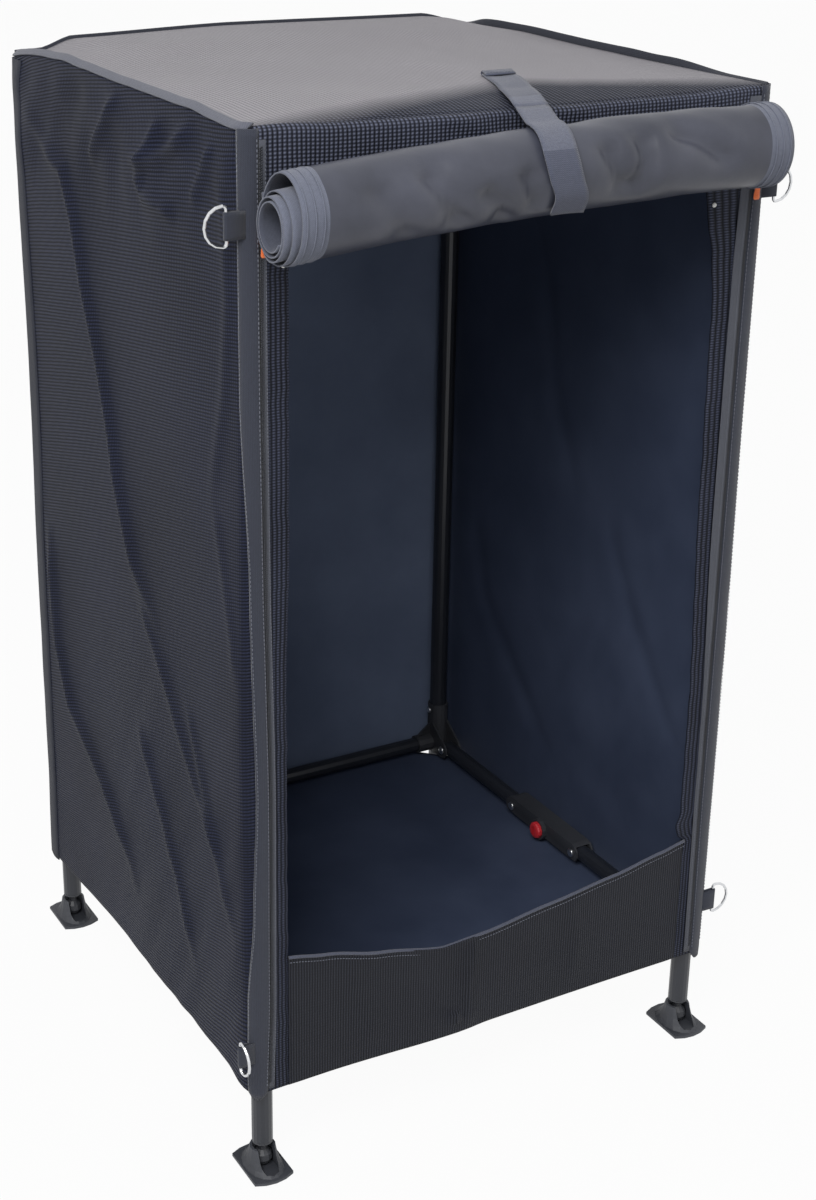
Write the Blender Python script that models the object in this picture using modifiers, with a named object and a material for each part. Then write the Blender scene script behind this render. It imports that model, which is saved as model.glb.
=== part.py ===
"""Folding fabric storage cupboard for camping.

Two rigid ladder frames of round tube, one at the rear and one at the front, are joined by four
side rails that fold at a knuckle in the middle.  A fabric cover hangs on the frame, and its door
is rolled up above the opening.  Units are metres, +Z is up and the door faces -Y.  The origin is
on the floor, under the middle of the whole cupboard with its rolled door.
"""

import math

import bmesh
import bpy
from mathutils import Matrix, Vector

# Overall frame
POST_SPAN_X = 0.534
POST_SPAN_Y = 0.538
POST_RADIUS = 0.011
POST_WALL = 0.0012
POST_BOTTOM_Z = 0.0345
POST_TOP_Z = 1.0597

# Rails and folding arms
RAIL_RADIUS = 0.0095
RAIL_WALL = 0.0012
LOWER_RAIL_Z = 0.121
UPPER_RAIL_DROP = 0.0107

# Clearances
SEAT_GAP = 0.0003
PIN_PLAY = 0.0004
SLIDE_PLAY = 0.0004
CAP_CLEARANCE = 0.0008

# Corner brackets
BRACKET_WALL = 0.0020
BRACKET_TALL = 0.056
BRACKET_CAP = 0.0024
STUB_WALL = 0.0024
STUB_REACH = 0.034
PIVOT_OFFSET = 0.032
CHEEK_THICK = 0.0024
CHEEK_RISE = 0.034
CHEEK_MARGIN = 0.0015
GUSSET_THICK = 0.0030
GUSSET_RISE = 0.020
CHEEK_LEAN = 30.0
RIVET_RADIUS = 0.0034
RIVET_CROWN = 0.0024
RIVET_HEAD = 0.0016
RIVET_INSET = 0.009

# Pivot pins
PIN_RADIUS = 0.0030
PIN_HEAD_RADIUS = 0.0048
PIN_HEAD_CROWN = 0.0035
PIN_HEAD = 0.0010
PIN_HEAD_INSIDE = 0.0018

# Folding knuckles
KNUCKLE_PIN_SPAN = 0.131
KNUCKLE_WALL = 0.0024
KNUCKLE_SKIRT = 0.0085
KNUCKLE_NOSE_END = -40.0

# Latch buttons, whose crown steps are shares of the radius and of the thickness
BUTTON_CROWN = ((0.62, 0.06), (0.90, 0.22), (1.0, 0.45))
BUTTON_RADIUS = 0.0105
BUTTON_THICK = 0.0070
BUTTON_TRAVEL = 0.0040
BUTTON_STEM = 0.0040
BUTTON_FLANGE = 0.0065
BUTTON_FLANGE_THICK = 0.0020
BUTTON_NOTCH = 0.0030
BUTTON_NOTCH_LENGTH = 0.0105
BOSS_WALL = 0.0024
BOSS_HEIGHT = 0.0050

# Feet
BALL_RADIUS = 0.0105
BALL_HEIGHT = 0.0135
BALL_LOW_ANGLE = -80.0
NECK_RADIUS = 0.0052
PLUG_SHOULDER = 0.0040
PLUG_STEM = 0.020
PAD_WIDTH = 0.044
PAD_LENGTH = 0.066
PAD_BOW = 0.006
PAD_THICK = 0.0032
SADDLE_WIDTH = 0.041
SADDLE_LENGTH = 0.060
SADDLE_TOP = 0.0264
SADDLE_LIP = 0.0026
THROAT_RISE = 0.0075
THROAT_RADIUS = 0.0084
MOUTH_RADIUS = 0.0110
SLOT_WIDTH = 0.0190
SLOT_REACH = 0.0270
SLOT_FLOOR = 0.0042

# The saddle's sides: share of its height, and share of its spread that is left there
SADDLE_SLOPE = ((0.0, 1.0), (0.18, 0.62), (0.46, 0.30), (0.75, 0.12), (1.0, 0.0))

# Fabric cover
FABRIC = 0.0018
HEM_DROP = 0.019
FLOOR_DROP = 0.0165
FLOOR_CORNER_CUT = 0.046
ROOF_CROWN = 0.006
JAMB_WIDTH = 0.023
BAND_HEIGHT = 0.0882
SILL_HEIGHT = 0.1525
SILL_SAG = 0.0425
SILL_DIP_X = -0.047
SILL_SLOPE = 1.2
BINDING_THICK = 0.0012
BINDING_FRONT = 0.013
BINDING_SIDE = 0.012

# Zips
ZIP_INSET = 0.002
ZIP_WIDTH = 0.010
ZIP_THICK = 0.0010
ZIP_COIL_WIDTH = 0.0044
ZIP_COIL_THICK = 0.0008
ZIP_ABOVE_HEM = 0.004
SLIDER_ABOVE_DOOR = 0.001
SLIDER_LENGTH = 0.011
SLIDER_WIDTH = 0.0080
SLIDER_THICK = 0.0044
PULL_LENGTH = 0.020
PULL_WIDTH = 0.0074
PULL_THICK = 0.0022

# Rolled door and its strap
ROLL_RADIUS = 0.0395
ROLL_CORE = 0.0125
ROLL_PITCH = 0.0052
ROLL_DROP = 0.0532
DOOR_THICK = 0.0014
DOOR_TAIL = 0.034
STRAP_WIDTH = 0.044
STRAP_THICK = 0.0016
STRAP_ON_ROOF = 0.036
STRAP_END_ANGLE = -112.0

# Guy rings on the front corners: how far the upper ones hang below the top of the cover, how
# far the lower ones sit above its hem, and the rings that point forwards
RING_WIRE = 0.0015
RING_HEIGHT = 0.038
RING_DEPTH = 0.022
RING_CORNER = 0.0033
TAB_HEIGHT = 0.027
TAB_REACH = 0.0115
TAB_THICK = 0.0024
TAB_EYE_WALL = 0.0012
TAB_SETBACK = 0.006
RING_DROP = {"left": 0.0762, "right": 0.0932}
RING_LIFT = {"left": 0.049, "right": 0.061}
RING_POINTS_FORWARD = {("lower", "left")}

# How far a piece runs into the one that it is joined to
WELD = 0.0003

# Facets of round pieces
POST_SIDES = 16
TUBE_SIDES = 12
PIN_SIDES = 8
ROUND_STEPS = 12
SADDLE_SIDES = 16
ARC_STEPS = 4
ARM_END_STEPS = 5
SPIRAL_STEPS = 16

# Values worked out from the sizes above
HALF_X = POST_SPAN_X / 2
HALF_Y = POST_SPAN_Y / 2
COLLAR_RADIUS = POST_RADIUS + SEAT_GAP + BRACKET_WALL
STUB_RADIUS = RAIL_RADIUS + SEAT_GAP + STUB_WALL
CHEEK_INNER = RAIL_RADIUS + SEAT_GAP
CHEEK_OUTER = CHEEK_INNER + CHEEK_THICK
KNUCKLE_OUTER = CHEEK_INNER + KNUCKLE_WALL
ARM_SPAN = (POST_SPAN_Y - 2 * PIVOT_OFFSET - KNUCKLE_PIN_SPAN) / 2
COVER_INNER = max(COLLAR_RADIUS, CHEEK_OUTER + PIN_HEAD, KNUCKLE_OUTER + PIN_HEAD) + SEAT_GAP
COVER_OUTER = COVER_INNER + FABRIC
ROLL_CENTRELINE = ROLL_RADIUS - DOOR_THICK / 2
ROLL_OFFSET = COVER_OUTER + SEAT_GAP + DOOR_THICK / 2 + ROLL_CENTRELINE
FRONT_REACH = HALF_Y + ROLL_OFFSET + ROLL_RADIUS + SEAT_GAP + STRAP_THICK
REAR_REACH = HALF_Y + max(COVER_OUTER, PAD_LENGTH / 2)
MIDDLE_Y = (FRONT_REACH - REAR_REACH) / 2
UPPER_RAIL_Z = POST_TOP_Z - UPPER_RAIL_DROP
COVER_TOP_Z = POST_TOP_Z + SEAT_GAP + BRACKET_CAP + CAP_CLEARANCE
ROOF_Z = COVER_TOP_Z + SEAT_GAP
HEM_Z = LOWER_RAIL_Z - HEM_DROP
FLOOR_Z = LOWER_RAIL_Z - FLOOR_DROP
DOOR_TOP_Z = COVER_TOP_Z - BAND_HEIGHT
SILL_TOP_Z = HEM_Z + SILL_HEIGHT
ZIP_BOTTOM_Z = HEM_Z + ZIP_ABOVE_HEM
SLIDER_Z = DOOR_TOP_Z + SLIDER_ABOVE_DOOR
ROLL_Z = COVER_TOP_Z - ROLL_DROP

SIDES = ("left", "right")
ENDS = ("rear", "front")
LEVELS = ("lower", "upper")
ACROSS = {"left": -1, "right": 1}
ALONG = {"rear": 1, "front": -1}
RISE = {"lower": 1, "upper": -1}
RAIL_Z = {"lower": LOWER_RAIL_Z, "upper": UPPER_RAIL_Z}

# Turns that lay a flat outline in the YZ plane or in the XZ plane
UPRIGHT_YZ = Matrix(((0, 0, 1, 0), (1, 0, 0, 0), (0, 1, 0, 0), (0, 0, 0, 1)))
UPRIGHT_XZ = Matrix(((1, 0, 0, 0), (0, 0, -1, 0), (0, 1, 0, 0), (0, 0, 0, 1)))


def clear_scene():
    for item in list(bpy.data.objects):
        bpy.data.objects.remove(item, do_unlink=True)


def make_collection(name):
    collection = bpy.data.collections.new(name)
    bpy.context.scene.collection.children.link(collection)
    return collection


def make_material(name, colour, roughness, metallic=0.0):
    material = bpy.data.materials.new(name)
    material.use_nodes = True
    shader = material.node_tree.nodes["Principled BSDF"]
    shader.inputs["Base Color"].default_value = (*colour, 1.0)
    shader.inputs["Roughness"].default_value = roughness
    shader.inputs["Metallic"].default_value = metallic
    material.diffuse_color = (*colour, 1.0)
    return material


def finish_mesh(name, bm):
    bm.normal_update()
    mesh = bpy.data.meshes.new(name)
    bm.to_mesh(mesh)
    bm.free()
    return mesh


def smooth(mesh):
    mesh.shade_smooth()
    mesh.set_sharp_from_angle(angle=math.radians(35))
    return mesh


def block(name, low, high):
    """A box between two opposite corners."""
    size = [abs(a - b) for a, b in zip(low, high)]
    bm = bmesh.new()
    place = Matrix.Translation((Vector(low) + Vector(high)) / 2) @ Matrix.Diagonal((*size, 1.0))
    bmesh.ops.create_cube(bm, size=1.0, matrix=place)
    return finish_mesh(name, bm)


def rod(name, radius, start, end, sides=TUBE_SIDES, end_radius=None):
    """A capped cylinder or cone from one point to another, with flats on its axes."""
    start = Vector(start)
    along = Vector(end) - start
    bm = bmesh.new()
    stand = along.to_track_quat("Z", "Y").to_matrix().to_4x4()
    place = Matrix.Translation(start + along / 2) @ stand @ Matrix.Rotation(math.pi / sides, 4, "Z")
    bmesh.ops.create_cone(
        bm,
        cap_ends=True,
        segments=sides,
        radius1=radius,
        radius2=radius if end_radius is None else end_radius,
        depth=along.length,
        matrix=place,
    )
    return smooth(finish_mesh(name, bm))


def ball(name, radius, centre, sides):
    bm = bmesh.new()
    bmesh.ops.create_uvsphere(
        bm, u_segments=sides, v_segments=sides // 2, radius=radius, matrix=Matrix.Translation(centre)
    )
    return smooth(finish_mesh(name, bm))


def mesh_of_curve(holder):
    """The mesh of a curve object, with its caps welded on and the curve taken away."""
    curve = holder.data
    bpy.context.scene.collection.objects.link(holder)
    depsgraph = bpy.context.evaluated_depsgraph_get()
    mesh = bpy.data.meshes.new_from_object(holder.evaluated_get(depsgraph))
    bpy.data.objects.remove(holder)
    bpy.data.curves.remove(curve)
    bm = bmesh.new()
    bm.from_mesh(mesh)
    bmesh.ops.remove_doubles(bm, verts=bm.verts, dist=0.00001)
    bm.to_mesh(mesh)
    bm.free()
    return mesh


def runs_clockwise(outline):
    following = outline[1:] + outline[:1]
    return sum(a[0] * b[1] - b[0] * a[1] for a, b in zip(outline, following)) < 0


def plate(name, outline, thickness, turn, centre=(0.0, 0.0, 0.0)):
    """A flat outline with a thickness, stood up by a turn."""
    if runs_clockwise(outline):
        outline = outline[::-1]
    curve = bpy.data.curves.new(name, "CURVE")
    curve.dimensions = "2D"
    curve.fill_mode = "BOTH"
    curve.extrude = thickness / 2
    spline = curve.splines.new("POLY")
    spline.points.add(len(outline) - 1)
    for point, (across, up) in zip(spline.points, outline):
        point.co = (across, up, 0.0, 1.0)
    spline.use_cyclic_u = True
    mesh = mesh_of_curve(bpy.data.objects.new(name, curve))
    mesh.transform(Matrix.Translation(centre) @ turn)
    return mesh


def arc(centre, radius, start, end, steps=ARC_STEPS):
    """Points on an arc, with its angles in degrees."""
    points = []
    for step in range(steps + 1):
        angle = math.radians(start + (end - start) * step / steps)
        points.append((centre[0] + radius * math.cos(angle), centre[1] + radius * math.sin(angle)))
    return points


def add_part(name, mesh, material, body, location):
    """An object of its own on a body's empty; its location is given in the cupboard's axes."""
    part = bpy.data.objects.new(name, mesh)
    mesh.materials.clear()
    mesh.materials.append(material)
    part.location = Vector(location) - body.location
    part.parent = body
    PARTS.objects.link(part)
    return part


def shape_with(part, mesh, operation):
    """Join a tool to a part, or cut it away; the tool's mesh is in the part's own axes."""
    tool = bpy.data.objects.new(f"{part.name}_{operation.lower()}_tool", mesh)
    tool.parent = part
    tool.hide_render = True
    tool.display_type = "WIRE"
    TOOLS.objects.link(tool)
    modifier = part.modifiers.new(operation.title(), "BOOLEAN")
    modifier.operation = operation
    modifier.solver = "EXACT"
    modifier.object = tool


def join(part, mesh):
    shape_with(part, mesh, "UNION")


def cut(part, mesh):
    shape_with(part, mesh, "DIFFERENCE")


def turned_mesh(name, profile, closed, sides):
    """The profile of a turned piece, placed so that the facets lie flat on the axes."""
    bm = bmesh.new()
    across, along = math.cos(math.pi / sides), math.sin(math.pi / sides)
    points = [bm.verts.new((radius * across, radius * along, height)) for radius, height in profile]
    for first, second in zip(points, points[1:]):
        bm.edges.new((first, second))
    if closed:
        bm.edges.new((points[-1], points[0]))
    return finish_mesh(name, bm)


def add_screw(part, steps):
    modifier = part.modifiers.new("Turn", "SCREW")
    modifier.steps = steps
    modifier.render_steps = steps
    modifier.use_merge_vertices = True
    modifier.merge_threshold = 0.00001
    modifier.use_smooth_shade = True


def add_solidify(part, thickness, even=True):
    modifier = part.modifiers.new("Thickness", "SOLIDIFY")
    modifier.thickness = thickness
    modifier.offset = 0.0
    modifier.use_even_offset = even


def ribbon(name, path, low_x, high_x):
    """An open strip of cloth that follows a path in the YZ plane."""
    bm = bmesh.new()
    edge = [bm.verts.new((low_x, y, z)) for y, z in path]
    sides = [bm.edges.new(pair) for pair in zip(edge, edge[1:])]
    made = bmesh.ops.extrude_edge_only(bm, edges=sides)["geom"]
    moved = [item for item in made if isinstance(item, bmesh.types.BMVert)]
    bmesh.ops.translate(bm, verts=moved, vec=(high_x - low_x, 0.0, 0.0))
    return smooth(finish_mesh(name, bm))


def make_empty(name, location):
    empty = bpy.data.objects.new(name, None)
    empty.empty_display_size = 0.03
    empty.location = location
    PARTS.objects.link(empty)
    return empty


def tube(name, radius, wall, length, material, body, location, sides, along_x=False):
    """A hollow tube, turned about its own axis."""
    inner = radius - wall
    profile = [(radius, length / 2), (radius, -length / 2), (inner, -length / 2), (inner, length / 2)]
    part = add_part(name, turned_mesh(name, profile, True, sides), material, body, location)
    add_screw(part, sides)
    if along_x:
        part.rotation_euler = (0.0, math.pi / 2, 0.0)
    return part


def make_posts(bodies, metal):
    length = POST_TOP_Z - POST_BOTTOM_Z
    middle = (POST_TOP_Z + POST_BOTTOM_Z) / 2
    for end in ENDS:
        for side in SIDES:
            place = (ACROSS[side] * HALF_X, MIDDLE_Y + ALONG[end] * HALF_Y, middle)
            name = f"post_{end}_{side}"
            tube(name, POST_RADIUS, POST_WALL, length, metal, bodies[end], place, POST_SIDES)


def make_cross_rails(bodies, metal):
    length = POST_SPAN_X - 2 * (POST_RADIUS + SEAT_GAP)
    for end in ENDS:
        for level in LEVELS:
            place = (0.0, MIDDLE_Y + ALONG[end] * HALF_Y, RAIL_Z[level])
            name = f"cross_rail_{level}_{end}"
            tube(name, RAIL_RADIUS, RAIL_WALL, length, metal, bodies[end], place, TUBE_SIDES, along_x=True)


def add_pin(part, along, head_side):
    """A riveted pivot pin across two cheeks, with its taller head inside the cupboard."""
    half = CHEEK_OUTER + PIN_HEAD / 2
    join(part, rod("pin", PIN_RADIUS, (-half, along, 0), (half, along, 0), PIN_SIDES))
    for side in (-1, 1):
        tall = PIN_HEAD_INSIDE if side == head_side else PIN_HEAD
        start = (side * (CHEEK_OUTER - WELD), along, 0)
        end = (side * (CHEEK_OUTER + tall), along, 0)
        join(part, rod("pin_head", PIN_HEAD_RADIUS, start, end, PIN_SIDES, PIN_HEAD_CROWN))


def cheek_outline(towards, rise):
    """A bracket cheek seen from the side: a round nose at the pin and a long root on the post."""
    nose = RAIL_RADIUS + CHEEK_MARGIN
    pin = towards * PIVOT_OFFSET
    outline = [(0.0, rise * CHEEK_RISE), (0.0, -rise * nose)]
    start, end = (-90.0 * rise, (90.0 - CHEEK_LEAN) * rise)
    if towards < 0:
        start, end = (180.0 - start, 180.0 - end)
    outline += arc((pin, 0.0), nose, start, end)
    return outline


def make_bracket(level, end, side, bodies, plastic):
    """A moulded corner fitting: a collar on the post, a socket for the cross rail and a fork."""
    rise, along, across, rail_z = RISE[level], ALONG[end], ACROSS[side], RAIL_Z[level]
    place = (across * HALF_X, MIDDLE_Y + along * HALF_Y, rail_z)
    foot = -rise * STUB_RADIUS
    head = rise * BRACKET_TALL
    if level == "upper":
        foot = POST_TOP_Z - rail_z + SEAT_GAP + BRACKET_CAP
    name = f"corner_bracket_{level}_{end}_{side}"
    collar = rod(name, COLLAR_RADIUS, (0, 0, foot), (0, 0, head), POST_SIDES)
    part = add_part(name, collar, plastic, bodies[end], place)

    stub_end = (-across * STUB_REACH, 0, 0)
    join(part, rod("socket", STUB_RADIUS, (0, 0, 0), stub_end))
    gusset = [
        (0.0, 0.0),
        (-across * (STUB_REACH - CHEEK_MARGIN), 0.0),
        (-across * (STUB_REACH - CHEEK_MARGIN), rise * (STUB_RADIUS - STUB_WALL / 2)),
        (-across * COLLAR_RADIUS / 2, rise * (STUB_RADIUS + GUSSET_RISE)),
        (0.0, rise * (STUB_RADIUS + GUSSET_RISE)),
    ]
    join(part, plate("gusset", gusset, GUSSET_THICK, UPRIGHT_XZ))
    for cheek in (-1, 1):
        centre = (cheek * (CHEEK_INNER + CHEEK_OUTER) / 2, 0, 0)
        outline = cheek_outline(-along, rise)
        join(part, plate("cheek", outline, CHEEK_OUTER - CHEEK_INNER, UPRIGHT_YZ, centre))
    add_pin(part, -along * PIVOT_OFFSET, -across)
    rivet_z = head - rise * RIVET_INSET
    rivet_start = (-across * (COLLAR_RADIUS - BRACKET_WALL / 2), 0, rivet_z)
    rivet_end = (-across * (COLLAR_RADIUS + RIVET_HEAD), 0, rivet_z)
    join(part, rod("rivet", RIVET_RADIUS, rivet_start, rivet_end, PIN_SIDES, RIVET_CROWN))

    bore = POST_RADIUS + SEAT_GAP
    bore_end = foot - rise * SEAT_GAP
    if level == "upper":
        bore_end = POST_TOP_Z - rail_z + SEAT_GAP
    cut(part, rod("post_bore", bore, (0, 0, bore_end), (0, 0, head + rise * SEAT_GAP), POST_SIDES))
    rail_bore_end = (-across * (STUB_REACH + SEAT_GAP), 0, 0)
    cut(part, rod("rail_bore", RAIL_RADIUS + SEAT_GAP, (0, 0, 0), rail_bore_end))


def make_arm(level, end, side, bodies, metal):
    """Half of a folding side rail: a tube with rounded ends, drilled for its two pins."""
    along = ALONG[end]
    pivot_y = MIDDLE_Y + along * (HALF_Y - PIVOT_OFFSET)
    reach = -along * ARM_SPAN
    name = f"side_arm_{level}_{end}_{side}"
    ends = sorted((0.0, reach))
    start = (0, ends[0] - 2 * RAIL_RADIUS, 0)
    finish = (0, ends[1] + 2 * RAIL_RADIUS, 0)
    place = (ACROSS[side] * HALF_X, pivot_y, RAIL_Z[level])
    part = add_part(name, rod(name, RAIL_RADIUS, start, finish), metal, bodies[f"{level}_{end}"], place)
    outline = arc((ends[1], 0.0), RAIL_RADIUS, -90.0, 90.0, ARM_END_STEPS)
    outline += arc((ends[0], 0.0), RAIL_RADIUS, 90.0, 270.0, ARM_END_STEPS)
    shape_with(part, plate("rounded_ends", outline, 4 * RAIL_RADIUS, UPRIGHT_YZ), "INTERSECT")
    bore_start = (0, start[1] - RAIL_RADIUS, 0)
    bore_end = (0, finish[1] + RAIL_RADIUS, 0)
    cut(part, rod("bore", RAIL_RADIUS - RAIL_WALL, bore_start, bore_end))
    hole = PIN_RADIUS + PIN_PLAY
    for y in ends:
        cut(part, rod("pin_hole", hole, (-2 * RAIL_RADIUS, y, 0), (2 * RAIL_RADIUS, y, 0), PIN_SIDES))


def knuckle_outline(rise):
    """The channel seen from the side: round at both ends, with its back above the arms."""
    half = KNUCKLE_PIN_SPAN / 2
    back = KNUCKLE_OUTER
    nose = arc((half, 0.0), back, 90.0 * rise, KNUCKLE_NOSE_END * rise)
    edge = nose[-1]
    outline = nose + [(half - back, -rise * KNUCKLE_SKIRT), (back - half, -rise * KNUCKLE_SKIRT)]
    outline += [(-edge[0], edge[1])] + [(-y, z) for y, z in reversed(nose[:-1])]
    return outline


def make_knuckle(level, side, bodies, plastic):
    """The channel that joins two half arms, with the housing of its latch button."""
    rise, inward = RISE[level], -ACROSS[side]
    place = (ACROSS[side] * HALF_X, MIDDLE_Y, RAIL_Z[level])
    name = f"folding_knuckle_{level}_{side}"
    body = plate(name, knuckle_outline(rise), 2 * KNUCKLE_OUTER, UPRIGHT_YZ)
    part = add_part(name, body, plastic, bodies[f"{level}_knuckle"], place)
    half = KNUCKLE_PIN_SPAN / 2
    length = half + 2 * KNUCKLE_OUTER
    roof = rise * CHEEK_INNER
    below = -rise * 2 * KNUCKLE_OUTER
    cut(part, block("channel", (-CHEEK_INNER, -length, below), (CHEEK_INNER, length, roof)))
    boss_radius = BUTTON_RADIUS + SLIDE_PLAY + BOSS_WALL
    face = inward * KNUCKLE_OUTER
    boss_top = inward * (KNUCKLE_OUTER + BOSS_HEIGHT)
    boss_foot = (face - inward * KNUCKLE_WALL / 2, 0, 0)
    join(part, rod("boss", boss_radius, boss_foot, (boss_top, 0, 0), ROUND_STEPS))
    well_top = (boss_top + inward * BOSS_WALL, 0, 0)
    well = rod("well", BUTTON_RADIUS + SLIDE_PLAY, (face, 0, 0), well_top, ROUND_STEPS)
    cut(part, well)
    stem_hole = rod("stem_hole", BUTTON_STEM + SLIDE_PLAY, (0, 0, 0), (boss_top, 0, 0), PIN_SIDES)
    cut(part, stem_hole)
    for y in (-half, half):
        add_pin(part, y, inward)


def make_button(level, side, bodies, plastic):
    """A sprung push button: a domed head in the knuckle's well, on a stem with a stop flange."""
    place = (ACROSS[side] * HALF_X, MIDDLE_Y, RAIL_Z[level])
    back = KNUCKLE_OUTER + BUTTON_TRAVEL + SLIDE_PLAY
    face = back + BUTTON_THICK
    flange_top = CHEEK_INNER - SEAT_GAP
    flange_back = flange_top - BUTTON_FLANGE_THICK
    profile = [(0.0, face)]
    profile += [(BUTTON_RADIUS * out, face - BUTTON_THICK * down) for out, down in BUTTON_CROWN]
    profile += [
        (BUTTON_RADIUS, back),
        (BUTTON_STEM, back),
        (BUTTON_STEM, flange_top),
        (BUTTON_FLANGE, flange_top),
        (BUTTON_FLANGE, flange_back),
        (0.0, flange_back),
    ]
    name = f"latch_button_{level}_{side}"
    mesh = turned_mesh(name, profile, False, ROUND_STEPS)
    part = add_part(name, mesh, plastic, bodies[f"{level}_knuckle"], place)
    add_screw(part, ROUND_STEPS)
    part.rotation_euler = (0.0, -ACROSS[side] * math.pi / 2, 0.0)
    notch_low = (-BUTTON_NOTCH_LENGTH / 2, -BUTTON_NOTCH / 2, face - BUTTON_NOTCH / 2)
    notch_high = (BUTTON_NOTCH_LENGTH / 2, BUTTON_NOTCH / 2, face + BUTTON_NOTCH)
    cut(part, block("notch", notch_low, notch_high))


def make_plug(end, side, bodies, plastic):
    """The end plug of a post, with the ball that the foot pad tilts on."""
    shoulder_z = POST_BOTTOM_Z - SEAT_GAP
    stem = POST_RADIUS - POST_WALL - SEAT_GAP
    neck_z = shoulder_z - PLUG_SHOULDER
    neck_angle = math.degrees(math.asin(NECK_RADIUS / BALL_RADIUS))
    profile = [
        (0.0, shoulder_z + PLUG_STEM),
        (stem, shoulder_z + PLUG_STEM),
        (stem, shoulder_z),
        (POST_RADIUS, shoulder_z),
        (POST_RADIUS, neck_z + PLUG_SHOULDER / 2),
        (POST_RADIUS - PLUG_SHOULDER / 2, neck_z),
        (NECK_RADIUS, neck_z),
    ]
    profile += arc((0.0, BALL_HEIGHT), BALL_RADIUS, 90.0 - neck_angle, BALL_LOW_ANGLE)
    profile.append((0.0, BALL_HEIGHT - BALL_RADIUS))
    name = f"ball_plug_{end}_{side}"
    place = (ACROSS[side] * HALF_X, MIDDLE_Y + ALONG[end] * HALF_Y, 0.0)
    part = add_part(name, turned_mesh(name, profile, False, ROUND_STEPS), plastic, bodies[end], place)
    add_screw(part, ROUND_STEPS)


def pad_outline():
    """The pad from above: straight long sides and bowed ends."""
    half = PAD_WIDTH / 2
    radius = (half * half + PAD_BOW * PAD_BOW) / (2 * PAD_BOW)
    spread = math.degrees(math.asin(half / radius))
    middle = PAD_LENGTH / 2 - radius
    rear = arc((0.0, middle), radius, 90.0 - spread, 90.0 + spread)
    return rear + [(-x, -y) for x, y in rear]


def pad_saddle():
    """A loft of ovals, from the pad's plate up to the round lip over the ball."""
    lip = MOUTH_RADIUS + SADDLE_LIP
    foot = PAD_THICK - WELD - BALL_HEIGHT
    rise = SADDLE_TOP - BALL_HEIGHT - foot
    bm = bmesh.new()
    rings = []
    for height, spread in SADDLE_SLOPE:
        half_x = lip + (SADDLE_WIDTH / 2 - lip) * spread
        half_y = lip + (SADDLE_LENGTH / 2 - lip) * spread
        turn = [2 * math.pi * (step + 0.5) / SADDLE_SIDES for step in range(SADDLE_SIDES)]
        z = foot + rise * height
        rings.append([bm.verts.new((half_x * math.cos(a), half_y * math.sin(a), z)) for a in turn])
    for lower, upper in zip(rings, rings[1:]):
        for step in range(SADDLE_SIDES):
            after = (step + 1) % SADDLE_SIDES
            bm.faces.new((lower[step], lower[after], upper[after], upper[step]))
    bm.faces.new(rings[0][::-1])
    bm.faces.new(rings[-1])
    return smooth(finish_mesh("saddle", bm))


def make_pad(end, side, bodies, plastic):
    """A foot pad: a bowed plate with a saddle round the ball, open towards the front."""
    name = f"foot_pad_{end}_{side}"
    place = (ACROSS[side] * HALF_X, MIDDLE_Y + ALONG[end] * HALF_Y, BALL_HEIGHT)
    base = plate(name, pad_outline(), PAD_THICK, Matrix.Identity(4), (0, 0, PAD_THICK / 2 - BALL_HEIGHT))
    part = add_part(name, base, plastic, bodies[end], place)
    join(part, pad_saddle())
    seat = (BALL_RADIUS + SLIDE_PLAY) / math.cos(math.pi / ROUND_STEPS) ** 2
    cut(part, ball("ball_seat", seat, (0, 0, 0), ROUND_STEPS))
    mouth_rise = SADDLE_TOP - BALL_HEIGHT
    flare = (MOUTH_RADIUS - THROAT_RADIUS) / (mouth_rise - THROAT_RISE)
    mouth_end = (0, 0, mouth_rise + SADDLE_LIP)
    mouth_radius = MOUTH_RADIUS + flare * SADDLE_LIP
    mouth = rod("mouth", THROAT_RADIUS, (0, 0, THROAT_RISE), mouth_end, ROUND_STEPS, mouth_radius)
    cut(part, mouth)
    half = SLOT_WIDTH / 2
    outline = [(half, 0.0), (-half, 0.0)] + arc((0.0, half - SLOT_REACH), half, 180.0, 360.0)
    floor = SLOT_FLOOR - BALL_HEIGHT
    slot_middle = (0, 0, (floor + mouth_end[2]) / 2)
    cut(part, plate("front_slot", outline, mouth_end[2] - floor, Matrix.Identity(4), slot_middle))


def make_side_panels(body, fabric):
    half_length = HALF_Y + COVER_INNER - SEAT_GAP
    for side in SIDES:
        across = ACROSS[side]
        name = f"side_panel_{side}"
        low = (across * COVER_INNER, -half_length, HEM_Z)
        high = (across * COVER_OUTER, half_length, COVER_TOP_Z)
        add_part(name, block(name, low, high), fabric, body, (across * HALF_X, MIDDLE_Y, 0.0))


def make_back_panel(body, fabric):
    half = HALF_X + COVER_OUTER
    low = (-half, COVER_INNER, HEM_Z)
    high = (half, COVER_OUTER, COVER_TOP_Z)
    add_part("back_panel", block("back_panel", low, high), fabric, body, (0.0, MIDDLE_Y + HALF_Y, 0.0))


def roof_crown(u, v):
    """How far the roof rises, with u and v running from -1 to 1 across and along it."""
    return ROOF_CROWN * (1 - u * u) * (1 - v * v)


def make_roof(body, fabric):
    """A taut roof, a little crowned between the upper rails."""
    half_x = HALF_X + COVER_OUTER
    half_y = HALF_Y + COVER_OUTER
    bm = bmesh.new()
    bmesh.ops.create_grid(bm, x_segments=6, y_segments=6, size=1.0)
    for vert in bm.verts:
        u, v = vert.co.x, vert.co.y
        vert.co = (u * half_x, v * half_y, roof_crown(u, v))
    mesh = smooth(finish_mesh("roof_panel", bm))
    part = add_part("roof_panel", mesh, fabric, body, (0.0, MIDDLE_Y, ROOF_Z + FABRIC / 2))
    add_solidify(part, FABRIC, even=False)


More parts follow.
